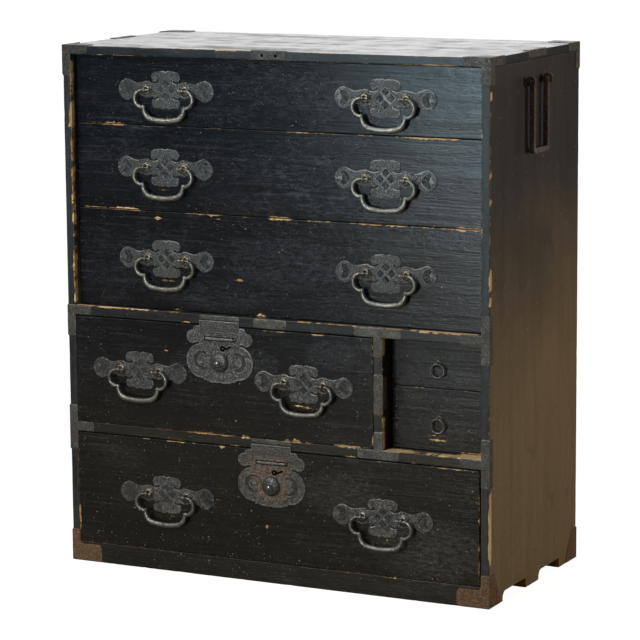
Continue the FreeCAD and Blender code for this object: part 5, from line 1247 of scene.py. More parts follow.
def pull_wear(x, z, h, d, seed, painted_light_level):
    u = np.abs(x)
    p = np.column_stack([x, z, np.full_like(x, seed * 7.0)])
    rim = np.exp(-((d - 1.1) / 0.8) ** 2)
    n = fnoise(p, (14.0, 14.0, 5.0), seed + 9, 3)
    m = fnoise(p, (4.0, 4.0, 4.0), seed + 19, 2)
    up = smooth(z, -8, 10) * 0.7 + 0.3
    upper_edge_lit = np.clip((pull_outline(x, z - 0.8) - pull_outline(x, z + 0.8)) / 1.6, -1, 1)                    # -1 along upper edges
    # painted highlight: the rim is brighter along the upper edges, where the light falls; the raised diagonal rib and
    # the crescent's tongue are brighter too, partly wear on raised metal and partly painted highlight
    w = 0.18 + rim * (0.20 + 0.80 * np.clip(-upper_edge_lit, 0, 1)) * np.clip((n - 0.30) * 2.8, 0, 1) * 1.0 * (d < 4) + 0.40 * np.exp(-(np.abs(x * 0.72 + (z + 0.3) * 0.69) / 0.8) ** 2) * (u < 8.5)
    w = w + 0.30 * smooth(-disc(u, z, 85.8, -0.6, 4.6), -0.5, 2.0) + 0.30 * (n - 0.5) + 0.35 * (m - 0.5)
    # the pull's painted light level scales all of this brightness
    return np.clip(w * painted_light_level, 0, 1)


PX = np.arange(-97.3, 97.4, 0.7)
PZ = np.arange(-35.0, 35.1, 0.7)
PULLS = [
    # drawer, side, x, face, z, painted light level (lower at the left, where the pulls get painted shade), rust
    ("drawer_top", "left", -211.0, -180.0, 855.5, 0.75, 0.0), ("drawer_top", "right", 211.0, -180.0, 855.5, 1.15, 0.0),
    ("drawer_second", "left", -215.0, -180.0, 719.5, 0.8, 0.05), ("drawer_second", "right", 211.0, -180.0, 719.5, 1.15, 0.0),
    ("drawer_third", "left", -215.0, -180.0, 558.5, 0.9, 0.1), ("drawer_third", "right", 211.0, -180.0, 558.5, 1.0, 0.0),
    ("drawer_middle", "left", -263.0, -197.4, 359.5, 0.7, 0.15), ("drawer_middle", "right", 61.5, -197.4, 359.5, 0.9, 0.15),
    ("drawer_bottom", "left", -211.5, -197.4, 138.5, 0.7, 0.45), ("drawer_bottom", "right", 211.5, -197.4, 138.5, 0.85, 0.45),
]


def barrel(soup, x, y, z, r_in, r_out, half, wear):
    """A round eye whose hole runs along X, with a soft section."""
    prof = [(r_in, -half * 0.6), (r_in + 0.35, -half), ((r_in + r_out) / 2, -half * 1.08), (r_out - 0.45, -half * 0.82), (r_out, -half * 0.25), (r_out, half * 0.25),
            (r_out - 0.45, half * 0.82), ((r_in + r_out) / 2, half * 1.08), (r_in + 0.35, half), (r_in, half * 0.6)]
    n, m = 26, len(prof)
    a = np.arange(n) / n * 2 * math.pi
    v = np.concatenate([np.column_stack([np.full(n, x + q), y + r * np.cos(a), z + r * np.sin(a)]) for r, q in prof])
    f = []
    for i in range(m):
        for j in range(n):
            k = (j + 1) % n
            f.append([i * n + j, i * n + k, ((i + 1) % m) * n + k, ((i + 1) % m) * n + j][::-1])
    soup.add(v, f, wear=wear)


def pull_plate(drawer, side, px, face, pz, painted_light_level, rust, seed):
    s = Soup()
    v, f = relief(pull_outline, lambda x, z, d: pull_height(x, z, d, seed), PX, PZ)
    d = np.maximum(-pull_outline(v[:, 0], v[:, 1]), 0)
    w = pull_wear(v[:, 0], v[:, 1], v[:, 2], d, seed, painted_light_level)
    win = windows(v[:, 0], v[:, 1])
    q = fnoise(np.column_stack([v[:, 0], v[:, 1], np.full(len(v), 4.0)]), (5.0, 5.0, 5.0), seed + 31, 2)
    grime = fnoise(np.column_stack([v[:, 0], v[:, 1], np.full(len(v), 9.0)]), (18.0, 18.0, 9.0), seed + 33, 3)
    # painted light: a painted shade fringe runs along every plate's outline; the dimmer pulls get painted shade over
    # the plate, heavier on the wings and broken by a grime mottle, windows less dark and a fainter bright ring round
    # the windows; the windows are dark like the lacquer behind them
    clear = min(1.0, max(0.60, (painted_light_level - 0.25) / 0.8))
    dark = np.maximum(0.40 * np.exp(-(d / 0.5) ** 2), 0.93 * clear * smooth(-win, -0.3, 0.4) * (0.80 + 0.20 * smooth(q, 0.65, 0.40)))
    pull_shade = np.clip(1.06 - painted_light_level, 0, 0.36)
    dark = np.maximum(dark, pull_shade * (0.45 + 0.9 * smooth(np.abs(v[:, 0]), 34, 72)) * (0.35 + 1.3 * grime) * (1 - 0.7 * np.exp(-((d - 1.1) / 0.8) ** 2)))
    w = np.clip(w + 0.50 * clear ** 1.5 * np.exp(-((win - 0.75) / 0.55) ** 2), 0, 1)
    p = np.column_stack([v[:, 0], v[:, 1], np.full(len(v), seed * 3.0)])
    ru = rust * (0.4 + 1.2 * smooth(fnoise(p, (16.0, 16.0, 9.0), seed + 5, 3), 0.4, 0.7))
    s.add(onto(v, (px, face, pz), *FRONT_AXES), f, wear=w, dark=dark, rust=ru)
    # small nails that hold the sheet
    for nx, nz in ((91.2, -1.6), (-91.2, -1.4), (0.6, 26.5), (-0.6, -26.5)):
        nail(s, (px + nx, face - 0.95, pz + nz), FRONT_AXES, 1.7, 0.42 if abs(nx) < 90 else 0.45, seed + nx, 0.55 if abs(nx) > 90 else 0.30)
    return s.make("%s_plate_%s" % (drawer, side), MAT_SHEET, drawer, replaces=(drawer + "_fittings",), slot="sheet_iron", sharp=50)


ROSE = [(11.0, 0.0), (11.1, 0.4), (10.7, 0.95), (10.1, 1.20), (9.5, 1.15), (9.0, 1.30), (8.2, 1.9), (7.2, 2.45), (6.1, 2.85), (5.0, 3.05), (4.2, 2.95), (3.5, 2.6), (2.9, 2.4)]


def pull_studs(drawer, side, px, face, pz, seed):
    s = Soup()
    for k in (-1, 1):
        x = px + k * 38.3
        v, f = lathe(ROSE, 36, petals=(14, 0.45, 5.5, 10.2), phase=0.1 * seed, seed=seed, wobble=0.01)
        r = np.hypot(v[:, 0], v[:, 1])
        s.add(onto(v + [0, 0, 0.9], (x, face, pz), *FRONT_AXES), f, wear=0.30 + 0.35 * smooth(r, 8.5, 6.0) + 0.2 * np.exp(-((r - 10.4) / 0.6) ** 2), rust=0.18)
        # split stud: one round shank from the sheet out to the eye
        pts = [(x, face - 1.6, pz), (x, face - 4.0, pz), (x, face - 6.6, pz)]
        v, f = tube(pts, [2.5, 2.3, 2.2], 12, up=(0, 0, 1), caps=False)
        s.add(v, f, wear=0.45, rust=0.1)
        barrel(s, x, face - 9.5, pz, 2.35, 4.5, 2.5, 0.55)
    return s.make("%s_studs_%s" % (drawer, side), MAT_STUD, drawer, replaces=(drawer + "_fittings",), slot="forged_iron", sharp=60)


def on_arc(cx, cz, r, a0, a1, n):
    a = np.radians(np.linspace(a0, a1, n))
    return np.column_stack([cx + r * np.cos(a), np.zeros(n), cz + r * np.sin(a)])


def ball(soup, at, r, wear, n=14, m=10, stretch=(1, 1, 1)):
    v, f = [], []
    for i in range(1, m):
        t = math.pi * i / m
        a = np.arange(n) / n * 2 * math.pi
        v.append(np.column_stack([r * math.sin(t) * np.cos(a), r * math.sin(t) * np.sin(a), np.full(n, r * math.cos(t))]))
    v = np.concatenate(v + [np.array([[0, 0, r], [0, 0, -r]])])
    top, low = len(v) - 2, len(v) - 1
    for i in range(m - 2):
        for j in range(n):
            k = (j + 1) % n
            f.append([i * n + j, (i + 1) * n + j, (i + 1) * n + k, i * n + k])
    for j in range(n):
        k = (j + 1) % n
        f.append([top, j, k])
        f.append([low, (m - 2) * n + k, (m - 2) * n + j])
    soup.add(v * np.asarray(stretch) + np.asarray(at), f, wear=wear)


def pull_bail(drawer, side, px, face, pz, seed):
    s = Soup()
    at = np.array([px, face - 9.5, pz])
    tangent = math.degrees(math.atan2(-31.5 - 62.0, 20.5))

    def hammer(v, k):
        n = fnoise(v + [0, 0, 40.0 * seed], (9.0, 9.0, 9.0), seed + k, 2)[:, None] - 0.5
        return v + n * 0.28 * np.array([1.0, 0.8, 1.0])

    for k in (-1, 1):
        flip = np.array([k, 1, 1])
        pin = np.column_stack([np.linspace(30.2, 40.5, 8), np.zeros(8), np.zeros(8)])
        lobe = on_arc(42.5, -15.0, 15.0, 92, -95, 40)
        path = np.concatenate([pin, lobe])
        t = np.linspace(0, 1, len(path))
        r = 2.0 + 1.65 * smooth(t, 0.18, 0.45) - 0.15 * smooth(t, 0.8, 1.0)
        v, f = tube(path * flip, r, 16, up=(0, 1, 0), caps=True)
        if k < 0:
            f = [q for q in f]
        v2 = hammer(v, 1)
        keepy = np.abs(v[:, 0]) < 42.4
        v2[keepy & (v[:, 2] > -3.2)] = v[keepy & (v[:, 2] > -3.2)]
        s.add(v2 + at, f, wear=np.clip(0.42 + 0.5 * (fnoise(v, (12.0, 12.0, 12.0), seed, 2) - 0.5) + 0.15 * smooth(v[:, 1], 0.5, -2.0), 0, 1))
        ball(s, at + flip * [29.7, 0, 0], 2.9, 0.75, stretch=(0.85, 1, 1))
        ball(s, at + flip * [40.6, 0, -29.6], 3.85, 0.62, stretch=(1.0, 0.95, 1.0))
    right_side = on_arc(20.5, -31.5, 19.5, 10, tangent, 22)
    bottom = on_arc(0, 62.0, 115.0, tangent, -180 - tangent, 26)
    left_side = right_side[::-1] * [-1, 1, 1]
    path = np.concatenate([right_side, bottom[1:-1], left_side])
    t = np.linspace(-1, 1, len(path))
    r = 4.90 - 1.30 * smooth(np.abs(t), 0.50, 1.0)
    v, f = tube(path, r, 18, up=(0, 1, 0), caps=True)
    v2 = hammer(v, 2) * [1.0, 0.90, 1.0]
    s.add(v2 + at, f, wear=np.clip(0.45 + 0.5 * (fnoise(v, (14.0, 14.0, 14.0), seed + 4, 2) - 0.5) + 0.15 * smooth(v[:, 1], 0.5, -3.0), 0, 1))
    node = "%s_bail_%s" % (drawer, side)
    return s.make(node + "_forged", MAT_BAIL, node + "_body", replaces=(node,), slot="forged_iron")


for k, (drawer, side, px, face, pz, painted_light_level, rust) in enumerate(PULLS):
    pull_plate(drawer, side, px, face, pz, painted_light_level, rust, 200 + k * 7)
    pull_studs(drawer, side, px, face, pz, 300 + k * 5)
    pull_bail(drawer, side, px, face, pz, 400 + k * 3)
# ------------------------------------------------------------------ locks

def lock_outline(x, z):
    u = np.abs(x)
    body = blend_min(disc(u, z, 35.0, -64.6, 31.0), disc(u, z, 10.0, -60.4, 42.2), 0.6)
    body = np.minimum(body, np.maximum(u - 44, np.maximum(z + 2.6, -60 - z)))
    ears = np.minimum(disc(u, z, 53.4, -22.6, 11.9), disc(u, z, 43.8, -11.4, 8.9))
    ears = np.minimum(ears, np.maximum(u - 50.5, np.maximum(z + 9.0, -32.5 - z)))
    d = np.minimum(body, ears)
    d = np.maximum(d, z + 2.6)
    d = np.maximum(d, -bar(u, z, 64.0, -40.0, 52.0, -36.6, 1.3))        # a slit under the ear that ends in a curl
    d = np.maximum(d, -bar(u, z, 52.0, -36.6, 43.0, -33.9, 0.85))
    d = np.maximum(d, -disc(u, z, 42.4, -33.4, 1.7))
    return d


def lock_height(x, z, d, seed):
    u = np.abs(x)
    h = 0.42 + 0.50 * smooth(d, 0.0, 0.9)
    h = h + 0.40 * np.exp(-((d - 1.4) / 0.75) ** 2)
    h = h - 0.24 * np.exp(-((d - 5.2) / 0.8) ** 2) * (z < -36)
    h = h - 0.22 * np.exp(-((d - 3.4) / 0.6) ** 2) * (z >= -32) * (u > 39)
    # scrolls each side of the dome: a sunk C with curled ends round a raised leaf
    c = arc(u, z, 33.6, -64.0, 14.4, 1.9, -108, 108)
    taper = np.minimum(c, arc(u, z, 34.0, -64.0, 14.0, 3.3, -66, 66))
    curl = np.minimum(arc(u, z, 31.4, -54.6, 3.8, 1.3, -60, 200), arc(u, z, 31.4, -73.4, 3.8, 1.3, 160, 420))
    h = h - 0.85 * smooth(-taper, -0.6, 0.9) - 0.40 * smooth(-curl, -0.5, 0.6)
    h = h + 0.34 * np.exp(-((taper - 1.3) / 0.8) ** 2)
    h = h + 0.22 * smooth(-disc(u, z, 36.5, -64.0, 8.5), -1.0, 3.0)
    # ear: a small dimple
    h = h - 0.26 * np.exp(-(np.hypot(u - 53.4, z + 22.6) / 1.8) ** 2)
    # ring round the dome
    r = np.hypot(x, z + 65.5)
    h = h + 0.30 * np.exp(-((r - 18.8) / 0.8) ** 2) - 0.2 * np.exp(-((r - 20.8) / 0.6) ** 2)
    # keyhole: a ring with a hooked tail
    k = keyhole(x, z)
    h = np.where(k < 1.2, h + 0.16 * np.exp(-((k - 0.7) / 0.5) ** 2), h) - 1.0 * smooth(-k, -0.25, 0.45)
    p = np.column_stack([x, z, np.full_like(x, seed * 11.0)])
    return np.clip(h + 0.16 * (fnoise(p, (4.0, 4.0, 4.0), seed, 3) - 0.5) + 0.35 * (fnoise(p, (36.0, 36.0, 5.0), seed + 3, 2) - 0.5), 0.06, 1.4)


def keyhole(x, z):
    ring = np.abs(np.hypot(x - 6.0, z + 40.6) - 3.3) - 1.55
    tail = np.minimum(bar(x, z, 9.6, -41.0, 14.0, -40.6, 1.5), bar(x, z, 14.0, -40.6, 17.6, -38.8, 1.4))
    tail = np.minimum(tail, bar(x, z, 17.6, -38.8, 21.6, -36.8, 1.3))
    return np.minimum(ring, tail)


def tab_height(x, z, d, seed):
    h = 1.9 + 0.5 * smooth(d, 0.0, 1.2)
    h = h - 0.30 * np.exp(-((d - 3.0) / 0.5) ** 2)
    h = h - 0.28 * np.exp(-(np.abs(z + 6.8) / 0.7) ** 2) * (d > 3.2)
    p = np.column_stack([x, z, np.full_like(x, seed * 5.0)])
    return np.clip(h + 0.30 * (fnoise(p, (2.6, 2.6, 2.6), seed, 2) - 0.5) * (d > 3.6) + 0.4 * (fnoise(p, (30.0, 30.0, 5.0), seed + 2, 2) - 0.5), 1.5, 2.75)


def lock_plate(drawer, lx, rz, seed, rusty):
    face = -197.4
    s = Soup()
    v, f = relief(lock_outline, lambda x, z, d: lock_height(x, z, d, seed), np.arange(-68.0, 68.1, 0.75), np.arange(-105.0, -1.4, 0.75))
    d = np.maximum(-lock_outline(v[:, 0], v[:, 1]), 0)
    x, z = v[:, 0], v[:, 1]
    p = np.column_stack([x, z, np.full(len(v), seed * 3.0)])
    n = fnoise(p, (15.0, 15.0, 9.0), seed + 5, 3)
    k = keyhole(x, z)
    # painted highlight: the rim's wear grows towards the right
    w = (0.20 if rusty else 0.34) + np.exp(-((d - 1.1) / 0.9) ** 2) * (0.25 + 0.55 * smooth(x, -30, 45)) * np.clip((n - 0.3) * 2.2, 0, 1) + 0.35 * smooth(v[:, 2], 1.05, 1.35) + 0.2 * (n - 0.5)
    # painted shade in the keyhole and in a fringe along the outline; the low parts, such as the sunk scrolls, are
    # darker
    dark = np.clip(smooth(v[:, 2], 0.80, 0.35) * (d > 1.5) * 0.62, 0, 1)
    dark = np.maximum(np.maximum(dark, smooth(-k, -0.7, -0.1)), 0.5 * np.exp(-(d / 0.5) ** 2))
    red = rusty * np.clip(smooth(np.hypot(x + 4, z + 52), 60, 18) + 0.5 * (n - 0.5), 0, 1)
    s.add(onto(v, (lx, face, rz), *FRONT_AXES), f, wear=np.clip(w, 0, 1), dark=dark, rust=red)
    # the tab that laps the rail, and the bar below it
    tab = lambda x, z: np.maximum(np.abs(x) - 38.0, np.abs(z + 2.6) - 9.2) - 0.9
    v, f = relief(tab, lambda x, z, d: tab_height(x, z, d, seed + 9), np.arange(-39.75, 39.8, 0.75), np.arange(-13.5, 8.3, 0.75), base=0.0)
    d = np.maximum(-tab(v[:, 0], v[:, 1]), 0)
    p = np.column_stack([v[:, 0], v[:, 1], np.full(len(v), seed * 3.0)])
    n = fnoise(p, (13.0, 13.0, 9.0), seed + 8, 3)
    s.add(onto(v, (lx, face, rz), *FRONT_AXES), f, wear=np.clip(0.2 + 0.4 * (n - 0.4) + 0.45 * np.exp(-(d / 1.1) ** 2), 0, 1),
          dark=0.55 * np.exp(-((d - 3.0) / 0.6) ** 2) + 0.45 * np.exp(-((v[:, 1] + 6.8) / 0.7) ** 2), rust=rusty * np.clip(n, 0, 1) * 0.5)
    path = np.array([[lx - 27.0 + 54.0 * t, face - 2.15, rz - 24.0] for t in np.linspace(0, 1, 24)])
    v, f = tube(path, 2.3 + 0.1 * np.sin(np.arange(24)), 14, up=(0, 1, 0), squash=0.62)
    s.add(v, f, wear=0.62, rust=rusty * 0.3)
    hook = [(lx + 28.5, face - 1.9, rz - 24.0), (lx + 30.6, face - 1.9, rz - 23.0), (lx + 31.4, face - 1.8, rz - 20.8), (lx + 31.0, face - 1.5, rz - 18.2)]
    v, f = tube(hook, [1.2, 1.15, 1.0, 0.8], 10, up=(0, 1, 0))
    s.add(v, f, wear=0.45)
    # painted shade: a dark sheet in the slot round the bar
    slot_ = lambda x, z: np.maximum(np.abs(x - 0.8) - 31.5, np.abs(z + 24.2) - 4.2)
    v, f = relief(slot_, lambda x, z, d: 1.02 + 0.0 * x, np.arange(-31.5, 33.9, 1.5), np.arange(-29.6, -18.6, 0.9), base=0.4)
    s.add(onto(v, (lx, face, rz), *FRONT_AXES), f, wear=0.0, dark=0.85)
    # corner nails
    for nx, nz, b in ((-61.5, -58.0, 0.35), (61.0, -58.0, 0.6), (-30.0, -97.5, 0.9 if rusty else 0.3), (30.0, -97.5, 0.4), (-55.0, -17.0, 0.3), (55.0, -17.0, 0.5)):
        nail(s, (lx + nx, face - 0.95, rz + nz), FRONT_AXES, 1.9, 0.42, seed + nx, b)
    s.make(drawer + "_lock_sheet", MAT_SHEET if not rusty else MAT_LOCK2, drawer, replaces=(drawer + "_lock_plate",), slot="sheet_iron", sharp=50)
    # painted shade: a near-black patch in the keyhole stands for the dark inside it
    s = Soup()
    v, f = relief(lambda x, z: keyhole(x, z) + 0.1, lambda x, z, d: 0.50 + 0.0 * x, np.arange(0.0, 24.2, 0.4), np.arange(-46.4, -34.5, 0.4), base=0.02)
    s.add(onto(v, (lx, face, rz), *FRONT_AXES), f)
    s.make(drawer + "_lock_keyhole", MAT_HOLE_SHADE, drawer, slot="sheet_iron")
    # dome, a ring at its foot and a collar at its eye
    s = Soup()
    prof = [(17.6, 0.0), (17.6, 0.7), (17.2, 1.1), (16.6, 1.2)]
    for r in np.linspace(16.0, 7.4, 12):
        prof.append((r, 1.2 + 5.5 * math.sqrt(max(0.0, 1 - ((r - 3.0) / 13.4) ** 2))))
    prof += [(6.8, 6.75), (6.3, 7.3), (5.6, 7.45), (5.0, 7.2), (4.6, 6.4), (4.45, 4.0)]
    v, f = lathe(prof, 48, petals=None, seed=seed, wobble=0.004)
    f = f[:-1] + [f[-1]]
    r = np.hypot(v[:, 0], v[:, 1])
    p = np.column_stack([v[:, 0], v[:, 1], np.full(len(v), seed * 1.0)])
    n = fnoise(p, (9.0, 9.0, 9.0), seed + 2, 3)
    # painted shade: dark rings at the dome's foot and round the collar at its eye
    s.add(onto(v + [0, 0, 1.3], (lx, face, rz - 65.5), *FRONT_AXES), f, wear=np.clip(0.30 + 0.5 * (n - 0.45) + 0.35 * np.exp(-((r - 5.6) / 1.0) ** 2), 0, 1), dark=0.8 * smooth(r, 16.2, 17.2) + 0.75 * np.exp(-((r - 7.3) / 0.8) ** 2),
          rust=rusty * 0.5 * n)
    s.make(drawer + "_lock_dome", MAT_DOME, drawer, replaces=(drawer + "_lock_plate",), slot="forged_iron", sharp=60)
    # the button
    s = Soup()
    prof = [(4.2, 0.0), (4.2, 12.0), (4.2, 20.6), (4.05, 22.0), (3.6, 23.4), (2.9, 24.4), (2.0, 25.2), (1.0, 25.6), (0, 25.7)]
    v, f = lathe(prof, 28, seed=seed)
    s.add(onto(v, (lx, face + 12.0, rz - 65.5), *FRONT_AXES), f, wear=0.75, rust=rusty * 0.35)
    s.make(drawer + "_lock_push", MAT_BRIGHT, drawer + "_lock_button_body", replaces=(drawer + "_lock_button",), slot="forged_iron")


lock_plate("drawer_middle", -102.0, 451.0, 501, 0.0)
lock_plate("drawer_bottom", -2.7, 239.5, 517, 0.75)

# ------------------------------------------------------------------ straps and corners

def sheet(soup, outline, at, axes, x0, x1, z0, z1, seed, thick=1.15, fold=None, step=1.6, worn=0.3, rust=0.0, nails=(), nail_r=2.1):
    """A flat shaped sheet of iron with a soft rim; fold(x, z) is the distance to a fold, where the rim stays full."""
    def height(x, z, d):
        if fold is not None:
            d = np.maximum(d, 1.2 - np.abs(fold(x, z)) * 0.6)
        h = 0.35 + (thick - 0.45) * smooth(d, 0.0, 0.9)
        p = np.column_stack([x, z, np.full_like(x, seed * 9.0)])
        h = h + 0.10 * (fnoise(p, (7.0, 7.0, 5.0), seed, 3) - 0.5) + 0.16 * (fnoise(p, (30.0, 30.0, 5.0), seed + 1, 2) - 0.5)
        return np.clip(h, 0.1, thick)

    n0, n1 = max(3, int(math.ceil((x1 - x0) / step))), max(3, int(math.ceil((z1 - z0) / step)))
    v, f = relief(outline, height, np.linspace(x0 - 0.6, x1 + 0.6, n0 + 2), np.linspace(z0 - 0.6, z1 + 0.6, n1 + 2))
    d = np.maximum(-outline(v[:, 0], v[:, 1]), 0)
    p = np.column_stack([v[:, 0], v[:, 1], np.full(len(v), seed * 2.0)])
    n = fnoise(p, (18.0, 18.0, 9.0), seed + 5, 3)
    w = worn + 0.8 * (n - 0.5) + 0.4 * np.exp(-((d - 0.7) / 0.8) ** 2) * np.clip(n * 2 - 0.5, 0, 1)
    soup.add(onto(v, at, *axes), f, wear=np.clip(w, 0, 1), rust=np.clip(rust * (0.5 + n), 0, 1))
    o, (u, w_, nn) = np.asarray(at, float), [np.asarray(q, float) for q in axes]
    for q, (nx, nz) in enumerate(nails):
        nail(soup, o + nx * u + nz * w_ + nn * (thick - 0.38), axes, nail_r, 0.36 + 0.0 * q, seed + q, 0.6)


def rect(x0, x1, z0, z1, r=1.0):
    cx, cz, hx, hz = (x0 + x1) / 2, (z0 + z1) / 2, (x1 - x0) / 2 - r, (z1 - z0) / 2 - r

    def d(x, z):
        qx, qz = np.abs(x - cx) - hx, np.abs(z - cz) - hz
        return np.hypot(np.maximum(qx, 0), np.maximum(qz, 0)) + np.minimum(np.maximum(qx, qz), 0) - r
    return d


def union(*shapes):
    return lambda x, z: np.minimum.reduce([q(x, z) for q in shapes])


def poly(*pts):
    return lambda x, z: polygon(x, z, pts)


FRONT_AT, RIGHT_AT, LEFT_AT, BACK_AT, TOP_AT = (0, -197, 0), (409, 0, 0), (-409, 0, 0), (0, 197, 0), (0, 0, 930)


def flip(shape, s):
    """The same outline mirrored in x when s is below zero."""
    return shape if s > 0 else (lambda x, z: shape(-x, z))


def top_corner(s, sx, back, seed):
    # face sheet: local x is case x in front, and case -x at the back
    at, axes, m = (BACK_AT, BACK_AXES, -1) if back else (FRONT_AT, FRONT_AXES, 1)
    arm, leg = (361.0, 883.0) if sx > 0 else (359.0, 877.0)
    face = union(poly((410.2, 931.2), (arm + 2.0, 931.2), (arm, 928.6), (arm - 0.5, 921.0), (arm + 1.4, 914.9), (396, 914.6), (393.6, 911.0), (393.6, leg + 3.4), (396.6, leg), (407.0, leg - 0.5), (410.2, leg + 2.0)))
    sheet(s, flip(face, sx * m), at, axes, *((353, 410.6) if sx * m > 0 else (-410.6, -353)), 874, 931.4, seed, worn=0.30, rust=0.1,
          nails=[(sx * m * 399.6, 890.7), (sx * m * 372.0, 922.4)], nail_r=2.0)
    # side sheet: local x is case y on the right, -y on the left
    ms = 1 if sx > 0 else -1
    q = 1 if back else -1
    long_, short = (145.0, 181.0) if back else (136.0, 177.0)
    side = poly((198.2, 931.2), (long_ + 2, 931.2), (long_, 928.0), (long_ + 0.6, 917.0), (long_ + 3, 914.9), (short + 3, 914.6), (short, 911.0), (short, leg + 3), (short + 3, leg), (196.0, leg - 0.4), (198.2, leg + 2))
    ax, at2 = (RIGHT_AXES, RIGHT_AT) if sx > 0 else (LEFT_AXES, LEFT_AT)
    sheet(s, flip(side, q * ms), at2, ax, *((134, 198.6) if q * ms > 0 else (-198.6, -134)), 874, 931.4, seed + 3, worn=0.22, rust=0.2,
          nails=[(q * ms * 188.0, 893.0), (q * ms * 152.0, 922.6)], nail_r=2.0)
    # top sheet
    depth = 35.0 if not back else 38.0
    a = 197.0 - depth
    top = poly((410.2, 198.2), (360.5, 198.2), (359.0, 196.0), (359.6, a + 12), (363, a + 8.5), (372, a + 7), (398, a + 1.4), (403, a), (410.2, a))
    sh = lambda x, z: top(np.abs(x), np.abs(z))
    sheet(s, sh, TOP_AT, TOP_AXES, *((358, 410.6) if sx > 0 else (-410.6, -358)), *((158, 198.6) if back else (-198.6, -158)), seed + 5, worn=0.5, rust=0.15,
          nails=[(sx * 372.0, q * 186.0), (sx * 400.0, q * (a + 7))], nail_r=2.0)
    # the folded edges
    fold_bar(s, (sx * 409.6, q * 197.6, leg + 3), (sx * 409.6, q * 197.6, 929.6), 0.55)
    fold_bar(s, (sx * 362, q * 197.6, 930.6), (sx * 409.6, q * 197.6, 930.6), 0.55)
    fold_bar(s, (sx * 409.6, q * (long_ + 4), 930.6), (sx * 409.6, q * 197.4, 930.6), 0.55)


def fold_bar(s, a, b, r, wear=0.6, rust=0.1):
    a, b = np.asarray(a, float), np.asarray(b, float)
    n = max(3, int(np.linalg.norm(b - a) / 6))
    pts = [a + (b - a) * t for t in np.linspace(0, 1, n)]
    up = (0, 0, 1) if abs(b[2] - a[2]) < 1 else (0, 1, 0)
    v, f = tube(pts, r, 8, up=up)
    s.add(v, f, wear=wear, rust=rust)


s = Soup()
for k, (sx, back_) in enumerate(((-1, False), (1, False), (-1, True), (1, True))):
    top_corner(s, sx, back_, 600 + 20 * k)
s.make("top_corners", MAT_STRAP, "case", replaces=("corner_irons_top",), slot="sheet_iron", sharp=50)


def bottom_corner(s, sx, back, seed):
    at, axes, m = (BACK_AT, BACK_AXES, -1) if back else (FRONT_AT, FRONT_AXES, 1)
    face = poly((410.2, 0.6), (352.0, 0.6), (349.4, 3.0), (348.8, 12.0), (349.8, 26.0), (352.6, 31.4), (358.0, 32.0), (388.0, 31.6), (392.6, 33.6), (393.6, 38.0), (393.6, 55.6), (396.0, 58.0), (408.0, 58.2), (410.2, 56.6))
    sheet(s, flip(face, sx * m), at, axes, *((348, 410.6) if sx * m > 0 else (-410.6, -348)), 0.3, 58.6, seed, worn=0.40, rust=0.9,
          nails=[(sx * m * 401.0, 47.0), (sx * m * 357.0, 17.0), (sx * m * 384.0, 15.0)], nail_r=2.2)
    ms = 1 if sx > 0 else -1
    q = 1 if back else -1
    lo, hi = (145.0, 176.0) if back else (149.0, 174.0)
    side = poly((198.2, 0.6), (lo + 2.0, 0.6), (lo, 3.6), (hi - 1.4, 54.0), (hi + 1.6, 57.8), (196.0, 58.2), (198.2, 56.0))
    ax, at2 = (RIGHT_AXES, RIGHT_AT) if sx > 0 else (LEFT_AXES, LEFT_AT)
    sheet(s, flip(side, q * ms), at2, ax, *((144, 198.6) if q * ms > 0 else (-198.6, -144)), 0.3, 58.6, seed + 3, worn=0.30, rust=0.8,
          nails=[(q * ms * 189.0, 46.0), (q * ms * 163.0, 10.0), (q * ms * 187.0, 14.0)], nail_r=2.2)
    fold_bar(s, (sx * 409.6, q * 197.6, 1.4), (sx * 409.6, q * 197.6, 56.6), 0.55, 0.35, 0.8)


s = Soup()
for k, (sx, back_) in enumerate(((-1, False), (1, False), (-1, True), (1, True))):
    bottom_corner(s, sx, back_, 700 + 20 * k)
s.make("bottom_corners", MAT_RUST, "case", replaces=("corner_irons_bottom",), slot="rusty_iron", sharp=50)

s = Soup()
# tees that tie the rails to the uprights
for sx, z0, z1, rz, arm, seed in ((-1, 412.0, 469.0, 451.0, 361.0, 801), (-1, 205.0, 287.0, 239.5, 360.0, 803), (1, 418.0, 501.0, 451.0, 355.0, 805), (1, 208.0, 292.0, 239.5, 355.0, 807)):
    face = union(rect(393.6, 410.2, z0, z1, 2.4), rect(arm, 400.0, rz + 0.4, rz + 17.2, 3.0))
    sheet(s, flip(face, sx), FRONT_AT, FRONT_AXES, *((arm - 0.5, 410.6) if sx > 0 else (-410.6, -arm + 0.5)), z0, z1, seed, worn=0.34, rust=0.15,
          nails=[(sx * 401.5, z0 + 8), (sx * 401.5, z1 - 7), (sx * (arm + 8), rz + 9)], nail_r=1.9)
    ax, at2, ms = (RIGHT_AXES, RIGHT_AT, 1) if sx > 0 else (LEFT_AXES, LEFT_AT, -1)
    sheet(s, flip(rect(183.2, 198.2, z0, z1, 2.4), -ms), at2, ax, *((-198.6, -183) if ms > 0 else (183, 198.6)), z0, z1, seed + 1, worn=0.22, rust=0.25,
          nails=[(-ms * 188.5, z0 + 12), (-ms * 188.5, z1 - 12)], nail_r=1.8)
    fold_bar(s, (sx * 409.6, -197.6, z0 + 2), (sx * 409.6, -197.6, z1 - 2), 0.55, 0.45, 0.15)
sheet(s, rect(-36, 29, 451.4, 468.2, 4.0), FRONT_AT, FRONT_AXES, -36, 29, 451.4, 468.2, 811, worn=0.36, rust=0.12, nails=[(-27.0, 460.0), (20.5, 459.4)], nail_r=1.9)
